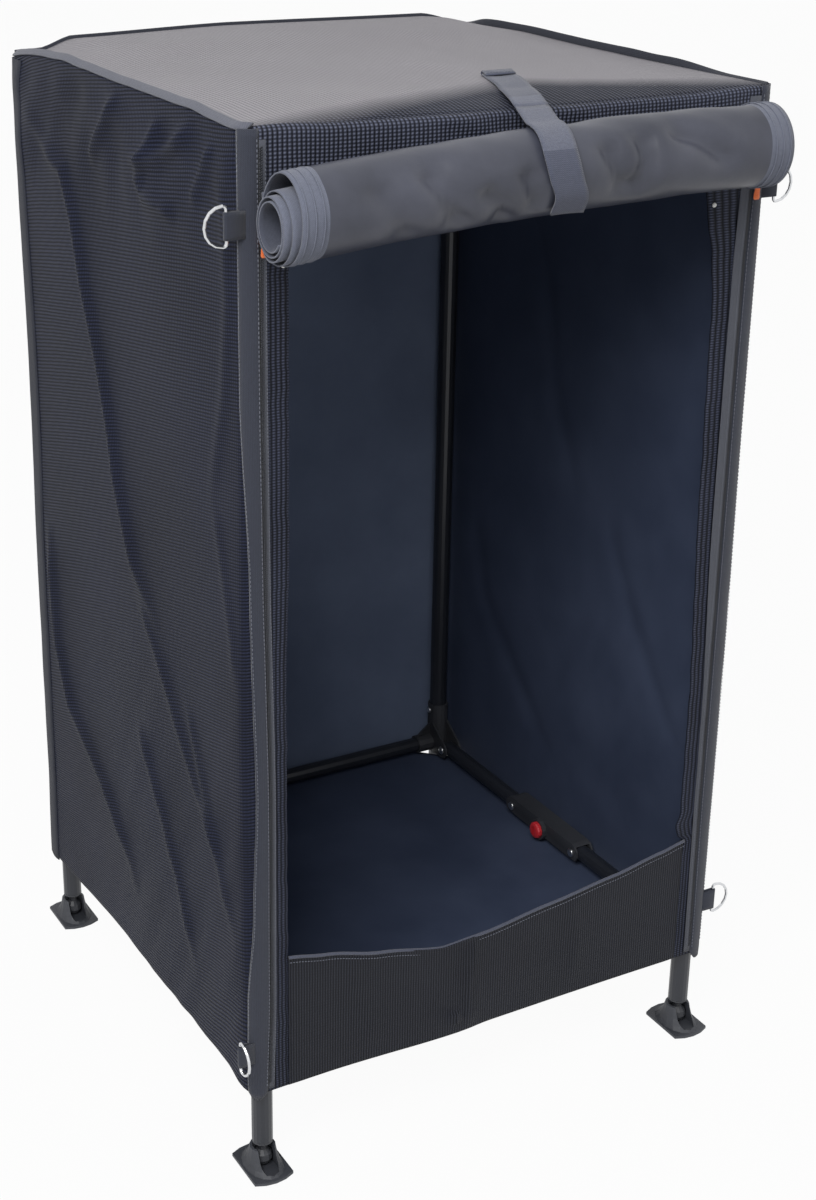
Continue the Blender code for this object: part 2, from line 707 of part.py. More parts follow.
def make_floor(body, fabric):
    """The floor cloth under the rails, cut away at the corners where the posts pass."""
    half_x = HALF_X + COVER_INNER - SEAT_GAP
    half_y = HALF_Y + COVER_INNER - SEAT_GAP
    corner = FLOOR_CORNER_CUT
    quarter = [(half_x, half_y - corner), (half_x - corner, half_y)]
    outline = quarter + [(-x, y) for x, y in reversed(quarter)]
    outline += [(-x, -y) for x, y in quarter] + [(x, -y) for x, y in reversed(quarter)]
    mesh = plate("floor_panel", outline, FABRIC, Matrix.Identity(4))
    add_part("floor_panel", mesh, fabric, body, (0.0, MIDDLE_Y, FLOOR_Z - FABRIC / 2))


def make_front_surround(body, fabric):
    """The fixed front cloth: a band above the door and a narrow jamb down each side."""
    outer = HALF_X + COVER_OUTER
    inner = HALF_X - JAMB_WIDTH
    outline = [
        (-outer, HEM_Z),
        (-inner, HEM_Z),
        (-inner, DOOR_TOP_Z),
        (inner, DOOR_TOP_Z),
        (inner, HEM_Z),
        (outer, HEM_Z),
        (outer, COVER_TOP_Z),
        (-outer, COVER_TOP_Z),
    ]
    centre = (0.0, -(COVER_INNER + COVER_OUTER) / 2, 0.0)
    mesh = plate("front_surround", outline, FABRIC, UPRIGHT_XZ, centre)
    add_part("front_surround", mesh, fabric, body, (0.0, MIDDLE_Y - HALF_Y, 0.0))


def make_front_sill(body, fabric):
    """The low front panel between the jambs, whose top edge sags to a dip left of the middle."""
    half = HALF_X - JAMB_WIDTH - SEAT_GAP
    steps = 2 * ARC_STEPS
    outline = [(-half, HEM_Z), (half, HEM_Z)]
    for step in range(steps + 1):
        u = 1.0 - 2.0 * step / steps
        x = SILL_DIP_X + abs(u) * (math.copysign(half, u) - SILL_DIP_X)
        outline.append((x, SILL_TOP_Z - SILL_SAG * (1 - abs(u) ** SILL_SLOPE)))
    centre = (0.0, -(COVER_INNER + COVER_OUTER) / 2, 0.0)
    mesh = plate("front_sill", outline, FABRIC, UPRIGHT_XZ, centre)
    add_part("front_sill", mesh, fabric, body, (0.0, MIDDLE_Y - HALF_Y, 0.0))


def ring_height(level, side):
    return COVER_TOP_Z - RING_DROP[side] if level == "upper" else HEM_Z + RING_LIFT[side]


def make_corner_binding(side, body, fabric):
    """Binding tape over a front corner, with the two webbing tabs that hold the guy rings."""
    across = ACROSS[side]
    name = f"corner_binding_{side}"
    face = COVER_OUTER + SEAT_GAP
    outer = face + BINDING_THICK
    outline = [
        (across * outer, -outer),
        (across * outer, -outer + BINDING_SIDE),
        (across * face, -outer + BINDING_SIDE),
        (across * face, -face),
        (across * (outer - BINDING_FRONT), -face),
        (across * (outer - BINDING_FRONT), -outer),
    ]
    tall = COVER_TOP_Z - HEM_Z
    mesh = plate(name, outline, tall, Matrix.Identity(4), (0.0, 0.0, HEM_Z + tall / 2))
    part = add_part(name, mesh, fabric, body, (across * HALF_X, MIDDLE_Y - HALF_Y, 0.0))
    eye = RING_WIRE + PIN_PLAY
    for level in LEVELS:
        middle = ring_height(level, side)
        low_z = middle - TAB_HEIGHT / 2
        high_z = middle + TAB_HEIGHT / 2
        eye_x = across * (outer + TAB_REACH)
        tab_y = -outer + TAB_SETBACK
        low = (across * (outer - BINDING_THICK / 2), tab_y - TAB_THICK / 2, low_z)
        high = (eye_x, tab_y + TAB_THICK / 2, high_z)
        join(part, block("tab", low, high))
        loop_ends = (eye_x, tab_y, low_z), (eye_x, tab_y, high_z)
        join(part, rod("tab_loop", eye + TAB_EYE_WALL, *loop_ends, ROUND_STEPS))
        hole = rod("tab_eye", eye, (eye_x, tab_y, low_z - eye), (eye_x, tab_y, high_z + eye), PIN_SIDES)
        cut(part, hole)


def ring_place(level, side):
    """The middle of a guy ring's straight bar, on its hinge axis."""
    outer = COVER_OUTER + SEAT_GAP + BINDING_THICK
    x = ACROSS[side] * (HALF_X + outer + TAB_REACH)
    y = MIDDLE_Y - HALF_Y - outer + TAB_SETBACK
    return (x, y, ring_height(level, side))


def make_ring(level, side, bodies, steel):
    """A D-shaped wire ring whose straight bar turns in the tab."""
    half = RING_HEIGHT / 2 - RING_WIRE
    depth = RING_DEPTH - RING_WIRE
    corner = RING_CORNER
    path = [(0.0, -half + corner), (0.0, 0.0), (0.0, half - corner)]
    path += arc((corner, half - corner), corner, 180.0, 90.0, 3)[1:]
    steps = 2 * ARC_STEPS
    for step in range(1, steps):
        angle = math.radians(90.0 - 180.0 * step / steps)
        path.append((corner + (depth - corner) * math.cos(angle), half * math.sin(angle)))
    path += arc((corner, -half + corner), corner, 270.0, 180.0, 3)[:-1]
    name = f"guy_ring_{level}_{side}"
    curve = bpy.data.curves.new(name, "CURVE")
    curve.dimensions = "3D"
    curve.bevel_depth = RING_WIRE
    curve.bevel_resolution = 2
    spline = curve.splines.new("POLY")
    spline.points.add(len(path) - 1)
    for point, (outward, up) in zip(spline.points, path):
        point.co = (outward, 0.0, up, 1.0)
    spline.use_cyclic_u = True
    mesh = smooth(mesh_of_curve(bpy.data.objects.new(name, curve)))
    part = add_part(name, mesh, steel, bodies["front"], ring_place(level, side))
    turn = 0.0 if side == "right" else math.pi
    if (level, side) in RING_POINTS_FORWARD:
        turn = -math.pi / 2
    part.rotation_euler = (0.0, 0.0, turn)


def zip_x(side):
    return ACROSS[side] * (HALF_X - ZIP_INSET)


def make_zip_track(side, body, nylon):
    """The fixed half of a zip: tape with a raised coil down its middle."""
    name = f"zip_track_{side}"
    face = COVER_OUTER + SEAT_GAP
    top = COVER_TOP_Z - FABRIC
    half = ZIP_WIDTH / 2
    mesh = block(name, (-half, -face - ZIP_THICK, ZIP_BOTTOM_Z), (half, -face, top))
    part = add_part(name, mesh, nylon, body, (zip_x(side), MIDDLE_Y - HALF_Y, 0.0))
    coil = ZIP_COIL_WIDTH / 2
    low = (-coil, -face - ZIP_THICK - ZIP_COIL_THICK, ZIP_BOTTOM_Z + ZIP_WIDTH)
    high = (coil, -face - ZIP_THICK / 2, top - ZIP_WIDTH)
    join(part, block("coil", low, high))


def make_zip_slider(side, bodies, orange):
    """A zip slider that straddles the coil, with its pull hanging from a bridge."""
    name = f"zip_slider_{side}"
    face = COVER_OUTER + SEAT_GAP + ZIP_THICK
    back = -face - SEAT_GAP
    front = back - SLIDER_THICK
    half = SLIDER_WIDTH / 2
    long = SLIDER_LENGTH / 2
    mesh = block(name, (-half, front, -long), (half, back, long))
    place = (zip_x(side), MIDDLE_Y - HALF_Y, SLIDER_Z)
    part = add_part(name, mesh, orange, bodies["front"], place)
    coil = ZIP_COIL_WIDTH / 2 + SEAT_GAP
    coil_face = -face - ZIP_COIL_THICK - SEAT_GAP
    cut(part, block("coil_groove", (-coil, coil_face, -2 * long), (coil, 0.0, 2 * long)))
    pull_top = long / 2
    pull = PULL_WIDTH / 2
    pull_low = (-pull, front - PULL_THICK, pull_top - PULL_LENGTH)
    join(part, block("pull", pull_low, (pull, front + WELD, pull_top)))
    eye_z = pull_top - PULL_LENGTH + PULL_WIDTH / 2
    eye_ends = (0, front - 2 * PULL_THICK, eye_z), (0, front + PULL_THICK, eye_z)
    cut(part, rod("pull_eye", PULL_WIDTH / 4, *eye_ends, PIN_SIDES))


def make_door_roll(body, fabric):
    """The door, rolled from its lower edge inwards, with the tail that hangs from the header."""
    centre = (-ROLL_OFFSET, ROLL_Z)
    turns = (ROLL_CENTRELINE - ROLL_CORE) / ROLL_PITCH
    steps = round(turns * SPIRAL_STEPS)
    tail_y = centre[0] + ROLL_CENTRELINE
    tail_steps = 3
    path = [(tail_y, ROLL_Z + DOOR_TAIL * (1 - step / tail_steps)) for step in range(tail_steps)]
    for step in range(steps + 1):
        share = step / steps
        radius = ROLL_CENTRELINE - share * (ROLL_CENTRELINE - ROLL_CORE)
        angle = -2 * math.pi * turns * share
        path.append((centre[0] + radius * math.cos(angle), centre[1] + radius * math.sin(angle)))
    half = HALF_X - ZIP_INSET - ZIP_WIDTH / 2 - SEAT_GAP
    mesh = ribbon("door_roll", path, -half, half)
    part = add_part("door_roll", mesh, fabric, body, (0.0, MIDDLE_Y - HALF_Y, 0.0))
    add_solidify(part, DOOR_THICK)


def make_roll_strap(body, fabric):
    """Webbing from the roof's front edge, over the roll and round to its underside."""
    radius = ROLL_RADIUS + SEAT_GAP + STRAP_THICK / 2
    centre = Vector((-ROLL_OFFSET, ROLL_Z))
    over_roof = ROOF_Z + FABRIC + SEAT_GAP + STRAP_THICK / 2
    edge = Vector((-COVER_OUTER - SEAT_GAP, over_roof))
    to_centre = centre - edge
    distance = to_centre.length
    lean = math.acos(radius / distance)
    back_angle = math.atan2(-to_centre.y, -to_centre.x)
    start = math.degrees(back_angle + lean)
    end = 180.0 - STRAP_END_ANGLE
    crown = roof_crown(0.0, 1.0 - STRAP_ON_ROOF / (HALF_Y + COVER_OUTER))
    path = [(edge.x + STRAP_ON_ROOF, over_roof + crown), (edge.x, edge.y)]
    path += arc((centre.x, centre.y), radius, start, end, 2 * ARC_STEPS)
    half = STRAP_WIDTH / 2
    mesh = ribbon("roll_strap", path, -half, half)
    part = add_part("roll_strap", mesh, fabric, body, (0.0, MIDDLE_Y - HALF_Y, 0.0))
    add_solidify(part, STRAP_THICK)


def build():
    metal = make_material("tube_black", (0.030, 0.032, 0.036), 0.42, 0.55)
    plastic = make_material("moulded_black", (0.016, 0.017, 0.020), 0.48)
    red = make_material("button_red", (0.42, 0.018, 0.022), 0.36)
    ribbed = make_material("ribbed_cloth", (0.034, 0.037, 0.045), 0.62)
    coated = make_material("coated_cloth", (0.045, 0.047, 0.053), 0.50)
    tape = make_material("binding_tape", (0.080, 0.086, 0.102), 0.80)
    nylon = make_material("zip_nylon", (0.012, 0.012, 0.014), 0.55)
    orange = make_material("zip_orange", (0.72, 0.115, 0.020), 0.45)
    steel = make_material("ring_steel", (0.70, 0.70, 0.71), 0.18, 1.0)

    # Empties stand for the rigid bodies, each on the axis of the joint that moves it
    fork_y = {end: MIDDLE_Y + ALONG[end] * (HALF_Y - PIVOT_OFFSET) for end in ENDS}
    knuckle_y = {end: MIDDLE_Y + ALONG[end] * KNUCKLE_PIN_SPAN / 2 for end in ENDS}
    bodies = {"rear": make_empty("rear_frame", (0.0, MIDDLE_Y + HALF_Y, 0.0))}
    bodies["front"] = make_empty("front_frame", (0.0, fork_y["front"], LOWER_RAIL_Z))
    for level in LEVELS:
        height = RAIL_Z[level]
        bodies[f"{level}_rear"] = make_empty(f"{level}_rear_arms", (0.0, fork_y["rear"], height))
        bodies[f"{level}_knuckle"] = make_empty(f"{level}_knuckles", (0.0, knuckle_y["rear"], height))
        bodies[f"{level}_front"] = make_empty(f"{level}_front_arms", (0.0, knuckle_y["front"], height))

    make_posts(bodies, metal)
    make_cross_rails(bodies, metal)
    for level in LEVELS:
        for side in SIDES:
            for end in ENDS:
                make_bracket(level, end, side, bodies, plastic)
                make_arm(level, end, side, bodies, metal)
            make_knuckle(level, side, bodies, plastic)
            make_button(level, side, bodies, red)
            make_ring(level, side, bodies, steel)
    for side in SIDES:
        for end in ENDS:
            make_plug(end, side, bodies, plastic)
            make_pad(end, side, bodies, plastic)

    make_side_panels(bodies["rear"], ribbed)
    make_back_panel(bodies["rear"], ribbed)
    make_roof(bodies["rear"], coated)
    make_floor(bodies["rear"], coated)
    make_front_surround(bodies["front"], ribbed)
    make_front_sill(bodies["front"], ribbed)
    make_door_roll(bodies["front"], coated)
    make_roll_strap(bodies["front"], tape)
    for side in SIDES:
        make_corner_binding(side, bodies["front"], tape)
        make_zip_track(side, bodies["front"], nylon)
        make_zip_slider(side, bodies, orange)


clear_scene()
PARTS = make_collection("fabric_storage_cupboard")
TOOLS = make_collection("cutting_and_joining_tools")
TOOLS.hide_render = True
build()
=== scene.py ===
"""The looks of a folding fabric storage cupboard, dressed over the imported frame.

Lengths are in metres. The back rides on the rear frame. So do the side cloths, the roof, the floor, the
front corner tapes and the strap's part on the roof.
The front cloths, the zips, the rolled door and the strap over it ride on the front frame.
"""

import math

import bpy
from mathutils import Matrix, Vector, noise


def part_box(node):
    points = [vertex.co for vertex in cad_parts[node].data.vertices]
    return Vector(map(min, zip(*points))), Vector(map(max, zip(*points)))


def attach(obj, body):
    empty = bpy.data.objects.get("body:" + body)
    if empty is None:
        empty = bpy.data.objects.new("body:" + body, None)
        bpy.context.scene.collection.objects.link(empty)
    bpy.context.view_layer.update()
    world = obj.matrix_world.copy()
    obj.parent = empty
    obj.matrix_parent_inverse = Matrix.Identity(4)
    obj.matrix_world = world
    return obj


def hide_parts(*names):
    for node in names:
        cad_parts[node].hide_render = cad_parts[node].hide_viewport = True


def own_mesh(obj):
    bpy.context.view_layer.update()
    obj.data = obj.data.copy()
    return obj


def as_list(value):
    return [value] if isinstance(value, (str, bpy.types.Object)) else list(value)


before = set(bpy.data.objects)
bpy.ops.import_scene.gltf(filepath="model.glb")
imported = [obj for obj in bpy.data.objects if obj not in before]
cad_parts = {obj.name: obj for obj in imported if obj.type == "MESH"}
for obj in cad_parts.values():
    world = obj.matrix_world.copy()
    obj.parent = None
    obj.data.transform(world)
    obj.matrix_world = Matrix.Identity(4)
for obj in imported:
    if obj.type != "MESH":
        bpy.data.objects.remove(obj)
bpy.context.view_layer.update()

# Camera of the photograph
CAMERA_PLACE = (-0.9759, -1.6952, 1.3291)
CAMERA_TURN = (math.radians(68.44), 0.0, math.radians(-27.85))
CAMERA_LENS = 57.67
CAMERA_SENSOR = 36.0
CAMERA_SHIFT = (0.0775, -0.044)

# Light
KEY_PLACE = (-1.8, -1.8, 2.9)
KEY_POWER = 88.0
KEY_SIZE = 1.7
FILL_PLACE = (2.6, -1.6, 1.8)
FILL_POWER = 3.0
FILL_SIZE = 2.4
AIM = (0.0, 0.0, 0.55)
WORLD_STRENGTH = 0.46
FLOOR_REACH = 14.0
FLOOR_TONE = 0.60
FLOOR_WHITE = 0.955

# Cloth
CLOTH = 0.0012
RIB_PITCH = 0.0035
NODE_PITCH = 0.0034
SHOULDER = 0.0060
SEAM_THICK = 0.0022
ROOF_PILLOW = 0.0045
ROOF_RIPPLE = 0.0016
ROOF_FINE_RIPPLE = 0.0008
CELL = 0.0062
SIDE_CELL = 0.0050
ROOF_CELL = 0.0070
RING_STEPS = 6
FORWARD = (0.0, -1.0, 0.0)

# Weave: how far the threads wander, how sharp the ribs and nodes are, and their relief
WEAVE_WANDER = 0.0009
RIB_SHARP = 1.3
NODE_SHARP = 1.6
RIB_BUMP = 0.0011
BROAD_BUMP = 0.004

SIDES = {"left": -1.0, "right": 1.0}


def node_box(name):
    low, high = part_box(name)
    return Vector(low), Vector(high)


FRONT_LOW, FRONT_HIGH = node_box("front_surround")
BACK_LOW, BACK_HIGH = node_box("back_panel")
FLOOR_LOW, FLOOR_HIGH = node_box("floor_panel")
SILL_HIGH = node_box("front_sill")[1]
OUTER_X = FRONT_HIGH.x
FRONT_Y = FRONT_LOW.y
REAR_Y = BACK_HIGH.y
HEM_Z = FRONT_LOW.z
COVER_TOP = FRONT_HIGH.z
JAMB_X = SILL_HIGH.x
DOOR_TOP = 0.975
BAND_SAG = 0.004
BAND_BUCKLE = 0.0075
# The roof falls towards the front from a line that bends back in the middle
SLOPE_MIDDLE_X = 0.047
SLOPE_BACK_Y = -0.164
SLOPE_LEAN = 0.27
# Width of the soft border over which the painted grazing sheen on the flat of the roof fades in
PAINTED_SHEEN_BORDER = 0.050


# Shader helpers
class Shader:
    """A short way to write the nodes and links of a material or a world."""

    def __init__(self, name, holder=None):
        self.material = holder or bpy.data.materials.new(name)
        self.material.use_nodes = True
        self.tree = self.material.node_tree
        self.bsdf = self.tree.nodes.get("Principled BSDF")

    def put(self, socket, value):
        """Links a socket to an output, or sets its value."""
        if isinstance(value, bpy.types.NodeSocket):
            self.tree.links.new(value, socket)
        else:
            socket.default_value = value

    def node(self, kind, inputs=(), **settings):
        """A new node with its settings, and its inputs as (key, value) pairs."""
        made = self.tree.nodes.new(kind)
        for key, value in settings.items():
            setattr(made, key, value)
        for key, value in inputs:
            self.put(made.inputs[key], value)
        return made

    def math(self, operation, a, b=0.0, clamp=False):
        values = ((0, a), (1, b))
        return self.node("ShaderNodeMath", values, operation=operation, use_clamp=clamp).outputs[0]

    def times(self, a, b):
        return self.math("MULTIPLY", a, b)

    def plus(self, a, b, clamp=False):
        return self.math("ADD", a, b, clamp)

    def place(self, kind="Object", scale=(1.0, 1.0, 1.0)):
        source = self.node("ShaderNodeTexCoord").outputs[kind]
        return self.node("ShaderNodeMapping", (("Vector", source), ("Scale", scale))).outputs[0]

    def noise(self, vector, scale, detail=3.0, roughness=0.5):
        values = (("Vector", vector), ("Scale", scale), ("Detail", detail), ("Roughness", roughness))
        return self.node("ShaderNodeTexNoise", values).outputs["Fac"]

    def ramp(self, factor, stops):
        made = self.node("ShaderNodeValToRGB", [("Fac", factor)])
        elements = made.color_ramp.elements
        while len(elements) < len(stops):
            elements.new(0.5)
        for element, (position, colour) in zip(elements, stops):
            element.position = position
            element.color = (*(colour if isinstance(colour, tuple) else (colour,) * 3), 1.0)
        return made.outputs["Color"]

    def mix(self, factor, a, b):
        a, b = [(*value, 1.0) if isinstance(value, tuple) else value for value in (a, b)]
        values = (("Factor", factor), ("A", a), ("B", b))
        return self.node("ShaderNodeMix", values, data_type="RGBA").outputs["Result"]

    def bump(self, height, distance, strength=1.0, normal=None):
        values = [("Distance", distance), ("Strength", strength), ("Height", height)]
        if normal is not None:
            values.append(("Normal", normal))
        return self.node("ShaderNodeBump", values).outputs["Normal"]

    def split(self, vector):
        return self.node("ShaderNodeSeparateXYZ", [(0, vector)]).outputs

    def wave(self, coordinate, pitch, sharpness=1.0):
        """A row of rounded ribs, from 0 in the groove to 1 on the crest."""
        turn = self.times(coordinate, math.pi / pitch)
        return self.math("POWER", self.math("ABSOLUTE", self.math("SINE", turn)), sharpness)

    def seen_rays(self):
        """1 where a ray comes from the camera, a reflection or a clear surface, 0 elsewhere."""
        rays = self.node("ShaderNodeLightPath").outputs
        mirrored = self.math("MAXIMUM", rays["Is Glossy Ray"], rays["Is Transmission Ray"])
        return self.math("MAXIMUM", mirrored, rays["Is Camera Ray"])

    def finish(self, colour, roughness, normal=None, **fixed):
        """Sets the surface. fixed gives sockets one value each, with _ for the spaces in their names."""
        self.put(self.bsdf.inputs["Base Color"], (*colour, 1.0) if isinstance(colour, tuple) else colour)
        self.put(self.bsdf.inputs["Roughness"], roughness)
        if normal is not None:
            self.put(self.bsdf.inputs["Normal"], normal)
        for key, value in fixed.items():
            self.bsdf.inputs[key.replace("_", " ")].default_value = value
        return self.material


def mesh_cloth(name, rib_axis, dark, light, rib_pitch=RIB_PITCH, node_pitch=NODE_PITCH,
               node_share=0.45, roof=None, gloss=0.25, rough=0.62):
    """Coated mesh cloth: ribs across one axis of the flat cloth, with raised nodes where threads cross.

    roof gives a lighter (dark, light) pair for the flat of the roof: a painted grazing sheen, the light that
    the cloth reflects there.
    """
    s = Shader(name)
    uv = s.place("UV")
    parts = s.split(uv)
    along, across = (parts[0], parts[1]) if rib_axis == "u" else (parts[1], parts[0])
    wander = s.noise(uv, 60.0, 2.0)
    ribs = s.wave(s.plus(across, s.times(wander, WEAVE_WANDER)), rib_pitch, RIB_SHARP)
    knots = s.times(ribs, s.wave(along, node_pitch, NODE_SHARP))
    height = s.plus(s.times(ribs, 1.0 - node_share), s.times(knots, node_share))
    broad = s.noise(uv, 7.0, 4.0)
    # The colour follows the relief: the grooves and pits between threads are darker, partly the dark ground
    # of the mesh and partly painted shade, and the crests and nodes are lighter, a painted highlight. The
    # broad noise adds random tone.
    tone = s.plus(s.times(height, 0.78), s.times(broad, 0.34))

    def shade(low, high):
        middle = tuple(0.62 * a + 0.38 * b for a, b in zip(low, high))
        return s.ramp(tone, [(0.16, low), (0.58, middle), (1.0, high)])

    colour = shade(dark, light)
    # On the flat of the roof the colours turn lighter: painted grazing sheen
    if roof is not None:
        colour = s.mix(painted_sheen_zone(s), colour, shade(*roof))
    roughness = s.math("SUBTRACT", rough, s.times(height, 0.16))
    normal = s.bump(height, RIB_BUMP, 0.9, s.bump(broad, BROAD_BUMP, 0.25))
    return s.finish(colour, roughness, normal, Specular_IOR_Level=gloss)


def painted_sheen_zone(s):
    """Where the painted grazing sheen lies: 0 on the front and its slope, 1 on the flat of the roof. The
    soft border bends back in the middle.
    """
    x, y = s.split(s.node("ShaderNodeTexCoord").outputs["Object"])[:2]
    aside = s.math("ABSOLUTE", s.math("SUBTRACT", x, SLOPE_MIDDLE_X))
    start = s.math("SUBTRACT", SLOPE_BACK_Y, s.times(aside, SLOPE_LEAN))
    beyond = s.math("DIVIDE", s.math("SUBTRACT", y, start), PAINTED_SHEEN_BORDER)
    return s.plus(beyond, 0.5, clamp=True)


def smooth_cloth(name, dark, light, roughness, cloud=9.0, bump=0.0012, gloss=0.5):
    """Smooth coated cloth with a soft crumple and a very fine weave."""
    s = Shader(name)
    at = s.place()
    fine = s.noise(at, 900.0, 2.0)
    colour = s.ramp(s.noise(at, cloud, 5.0, 0.55), [(0.30, dark), (0.72, light)])
    rough = s.plus(roughness, s.times(fine, 0.08))
    crumple = s.bump(s.noise(at, 26.0), bump, 0.55)
    return s.finish(colour, rough, s.bump(fine, 0.00012, 0.5, crumple), Specular_IOR_Level=gloss)


def webbing(name, dark, light, pitch=0.0016, axis="u", fuzz=0.0, sheen=0.22):
    """Woven tape with a twill of slanting ribs."""
    s = Shader(name)
    u, v = s.split(s.place("UV"))[:2]
    slant = s.plus(u, s.times(v, 1.0 if axis == "u" else -1.0))
    rows = s.wave(v if axis == "u" else u, pitch * 0.8)
    height = s.times(s.plus(s.wave(slant, pitch), rows), 0.5)
    grain = s.noise(s.place(), 420.0, 3.0, 0.7)
    tone = s.plus(s.times(height, 0.55), s.times(grain, 0.45 + fuzz))
    woven = s.bump(height, 0.0004, 0.8)
    normal = s.bump(grain, 0.0004 + 0.0012 * fuzz, 0.4 + fuzz, woven)
    return s.finish(s.ramp(tone, [(0.22, dark), (0.85, light)]), 0.86, normal,
                    Sheen_Weight=sheen, Sheen_Roughness=0.5)


def moulded(name, dark, light, roughness, grain=0.0002):
    """Moulded plastic with a fine spark texture and rubbed edges."""
    s = Shader(name)
    at = s.place()
    fine = s.noise(at, 700.0, 3.0, 0.6)
    edge = s.ramp(s.node("ShaderNodeNewGeometry").outputs["Pointiness"], [(0.48, 0.0), (0.62, 1.0)])
    tone = s.mix(s.noise(at, 35.0), dark, light)
    worn = s.mix(s.times(edge, 0.35), tone, tuple(min(1.0, c * 2.2 + 0.02) for c in light))
    return s.finish(worn, s.plus(roughness, s.times(fine, 0.16)), s.bump(fine, grain, 0.6))


def painted_tube(name):
    """Satin dark grey powder coat on steel tube, with light rub marks along the length."""
    s = Shader(name)
    speck = s.noise(s.place(), 1100.0, 2.0, 0.6)
    rubs = s.noise(s.place("Object", (60.0, 60.0, 3.0)), 4.0, 4.0, 0.6)
    colour = s.mix(rubs, (0.014, 0.016, 0.022), (0.026, 0.029, 0.038))
    return s.finish(colour, s.plus(0.30, s.times(rubs, 0.22)), s.bump(speck, 0.00010, 0.5),
                    Metallic=0.2, Coat_Weight=0.2, Coat_Roughness=0.3)


def bright_steel(name, tone=(0.74, 0.75, 0.77), roughness=0.16):
    """Bright plated steel with fine marks round it."""
    s = Shader(name)
    marks = s.noise(s.place("Object", (40.0, 40.0, 400.0)), 3.0, 4.0, 0.7)
    colour = s.mix(s.noise(s.place(), 60.0), tone, tuple(c * 0.82 for c in tone))
    rough = s.plus(roughness, s.times(marks, 0.18))
    return s.finish(colour, rough, s.bump(marks, 0.00005, 0.4), Metallic=1.0)


CLOTH_DARK = (0.0032, 0.0037, 0.0066)
CLOTH_LIGHT = (0.019, 0.024, 0.053)
LOOK = {
    "ribbed": mesh_cloth("ribbed_mesh_cloth", "u", CLOTH_DARK, CLOTH_LIGHT, node_share=0.25, gloss=0.12),
    "sill": mesh_cloth("upright_ribbed_cloth", "v", CLOTH_DARK, (0.029, 0.032, 0.044), 0.0030,
                       node_share=0.2, gloss=0.2),
    "grid": mesh_cloth("open_grid_cloth", "v", (0.0026, 0.0030, 0.0050), (0.150, 0.165, 0.235),
                       0.0044, 0.0032, 0.66, gloss=0.10),
    # The jamb strips are the front band's grid cloth in darker colours: painted shade
    "jamb": mesh_cloth("jamb_mesh_cloth_painted_shade", "v", (0.0024, 0.0028, 0.0050), (0.070, 0.080, 0.125),
                       0.0042, 0.0027, 0.72, gloss=0.12),
    # The roof's grid: darker than the front band's grid on the slope, a painted shade, and light grey on the
    # flat, a painted grazing sheen
    "roof": mesh_cloth("roof_mesh_cloth", "v", (0.0020, 0.0023, 0.0045), (0.100, 0.108, 0.150),
                       0.0046, 0.0036, 0.72, ((0.258, 0.248, 0.266), (0.370, 0.356, 0.383)), 0.08),
    "lining": smooth_cloth("dark_blue_lining", (0.038, 0.050, 0.088), (0.058, 0.074, 0.124), 0.55,
                           gloss=0.2),
    # The back wall's lining is the same cloth as the dark blue lining, about three times lighter: painted
    # light on the inside of the back
    "lit_back_lining": smooth_cloth("back_wall_lining_painted_light", (0.120, 0.152, 0.235), (0.170, 0.212, 0.315), 0.55,
                                gloss=0.2),
    "door": smooth_cloth("rolled_door_cloth", (0.034, 0.037, 0.052), (0.064, 0.068, 0.092), 0.38, 14.0),
    "band": webbing("roll_band_tape", (0.074, 0.082, 0.114), (0.165, 0.180, 0.238)),
    "inner_band": webbing("roll_band_inside", (0.030, 0.034, 0.050), (0.075, 0.083, 0.118)),
    "tape": webbing("seam_tape", (0.050, 0.053, 0.070), (0.135, 0.142, 0.180)),
    "corner": webbing("corner_binding_tape", (0.011, 0.0135, 0.022), (0.030, 0.035, 0.056)),
    "dark_tape": webbing("dark_binding_tape", (0.007, 0.0085, 0.014), (0.022, 0.025, 0.040), sheen=0.04),
    "strap": webbing("strap_webbing", (0.036, 0.041, 0.062), (0.092, 0.102, 0.150), 0.0022, "v"),
    "fuzz": webbing("strap_hook_and_loop", (0.034, 0.039, 0.058), (0.115, 0.126, 0.176), 0.0012, "v", 0.5),
    "thread": moulded("sewing_thread", (0.10, 0.11, 0.14), (0.18, 0.19, 0.23), 0.6, 0.0001),
    "zip_tape": webbing("zip_tape", (0.038, 0.042, 0.056), (0.085, 0.092, 0.118), 0.0010),
    "teeth": moulded("zip_coil_nylon", (0.006, 0.007, 0.010), (0.016, 0.018, 0.024), 0.40, 0.00005),
    "orange": moulded("orange_pull", (0.72, 0.105, 0.022), (0.82, 0.150, 0.035), 0.36, 0.0001),
    "white": moulded("white_rivet", (0.74, 0.74, 0.72), (0.82, 0.82, 0.80), 0.35, 0.0001),
    "plastic": moulded("charcoal_plastic", (0.016, 0.017, 0.021), (0.030, 0.032, 0.038), 0.44),
    "pad": moulded("foot_pad_plastic", (0.022, 0.024, 0.030), (0.038, 0.041, 0.050), 0.50),
    "red": moulded("red_button_plastic", (0.40, 0.012, 0.018), (0.50, 0.020, 0.028), 0.30, 0.0001),
    "tube": painted_tube("satin_tube_paint"),
    "steel": bright_steel("bright_ring_steel"),
    "pin": bright_steel("zinc_pin_steel", (0.66, 0.67, 0.69), 0.24),
}


# Mesh helpers
def ease(low, high, value):
    share = min(1.0, max(0.0, (value - low) / (high - low)))
    return share * share * (3.0 - 2.0 * share)


def between(start, end, count):
    return [start + (end - start) * step / count for step in range(count + 1)]


def cells(start, end, size=CELL):
    """Steps of about one size, the first and the last included."""
    return between(start, end, max(1, round(abs(end - start) / size)))


def uneven(x, y, z):
    """Smooth noise, about -1 to 1."""
    return noise.noise(Vector((x, y, z)))


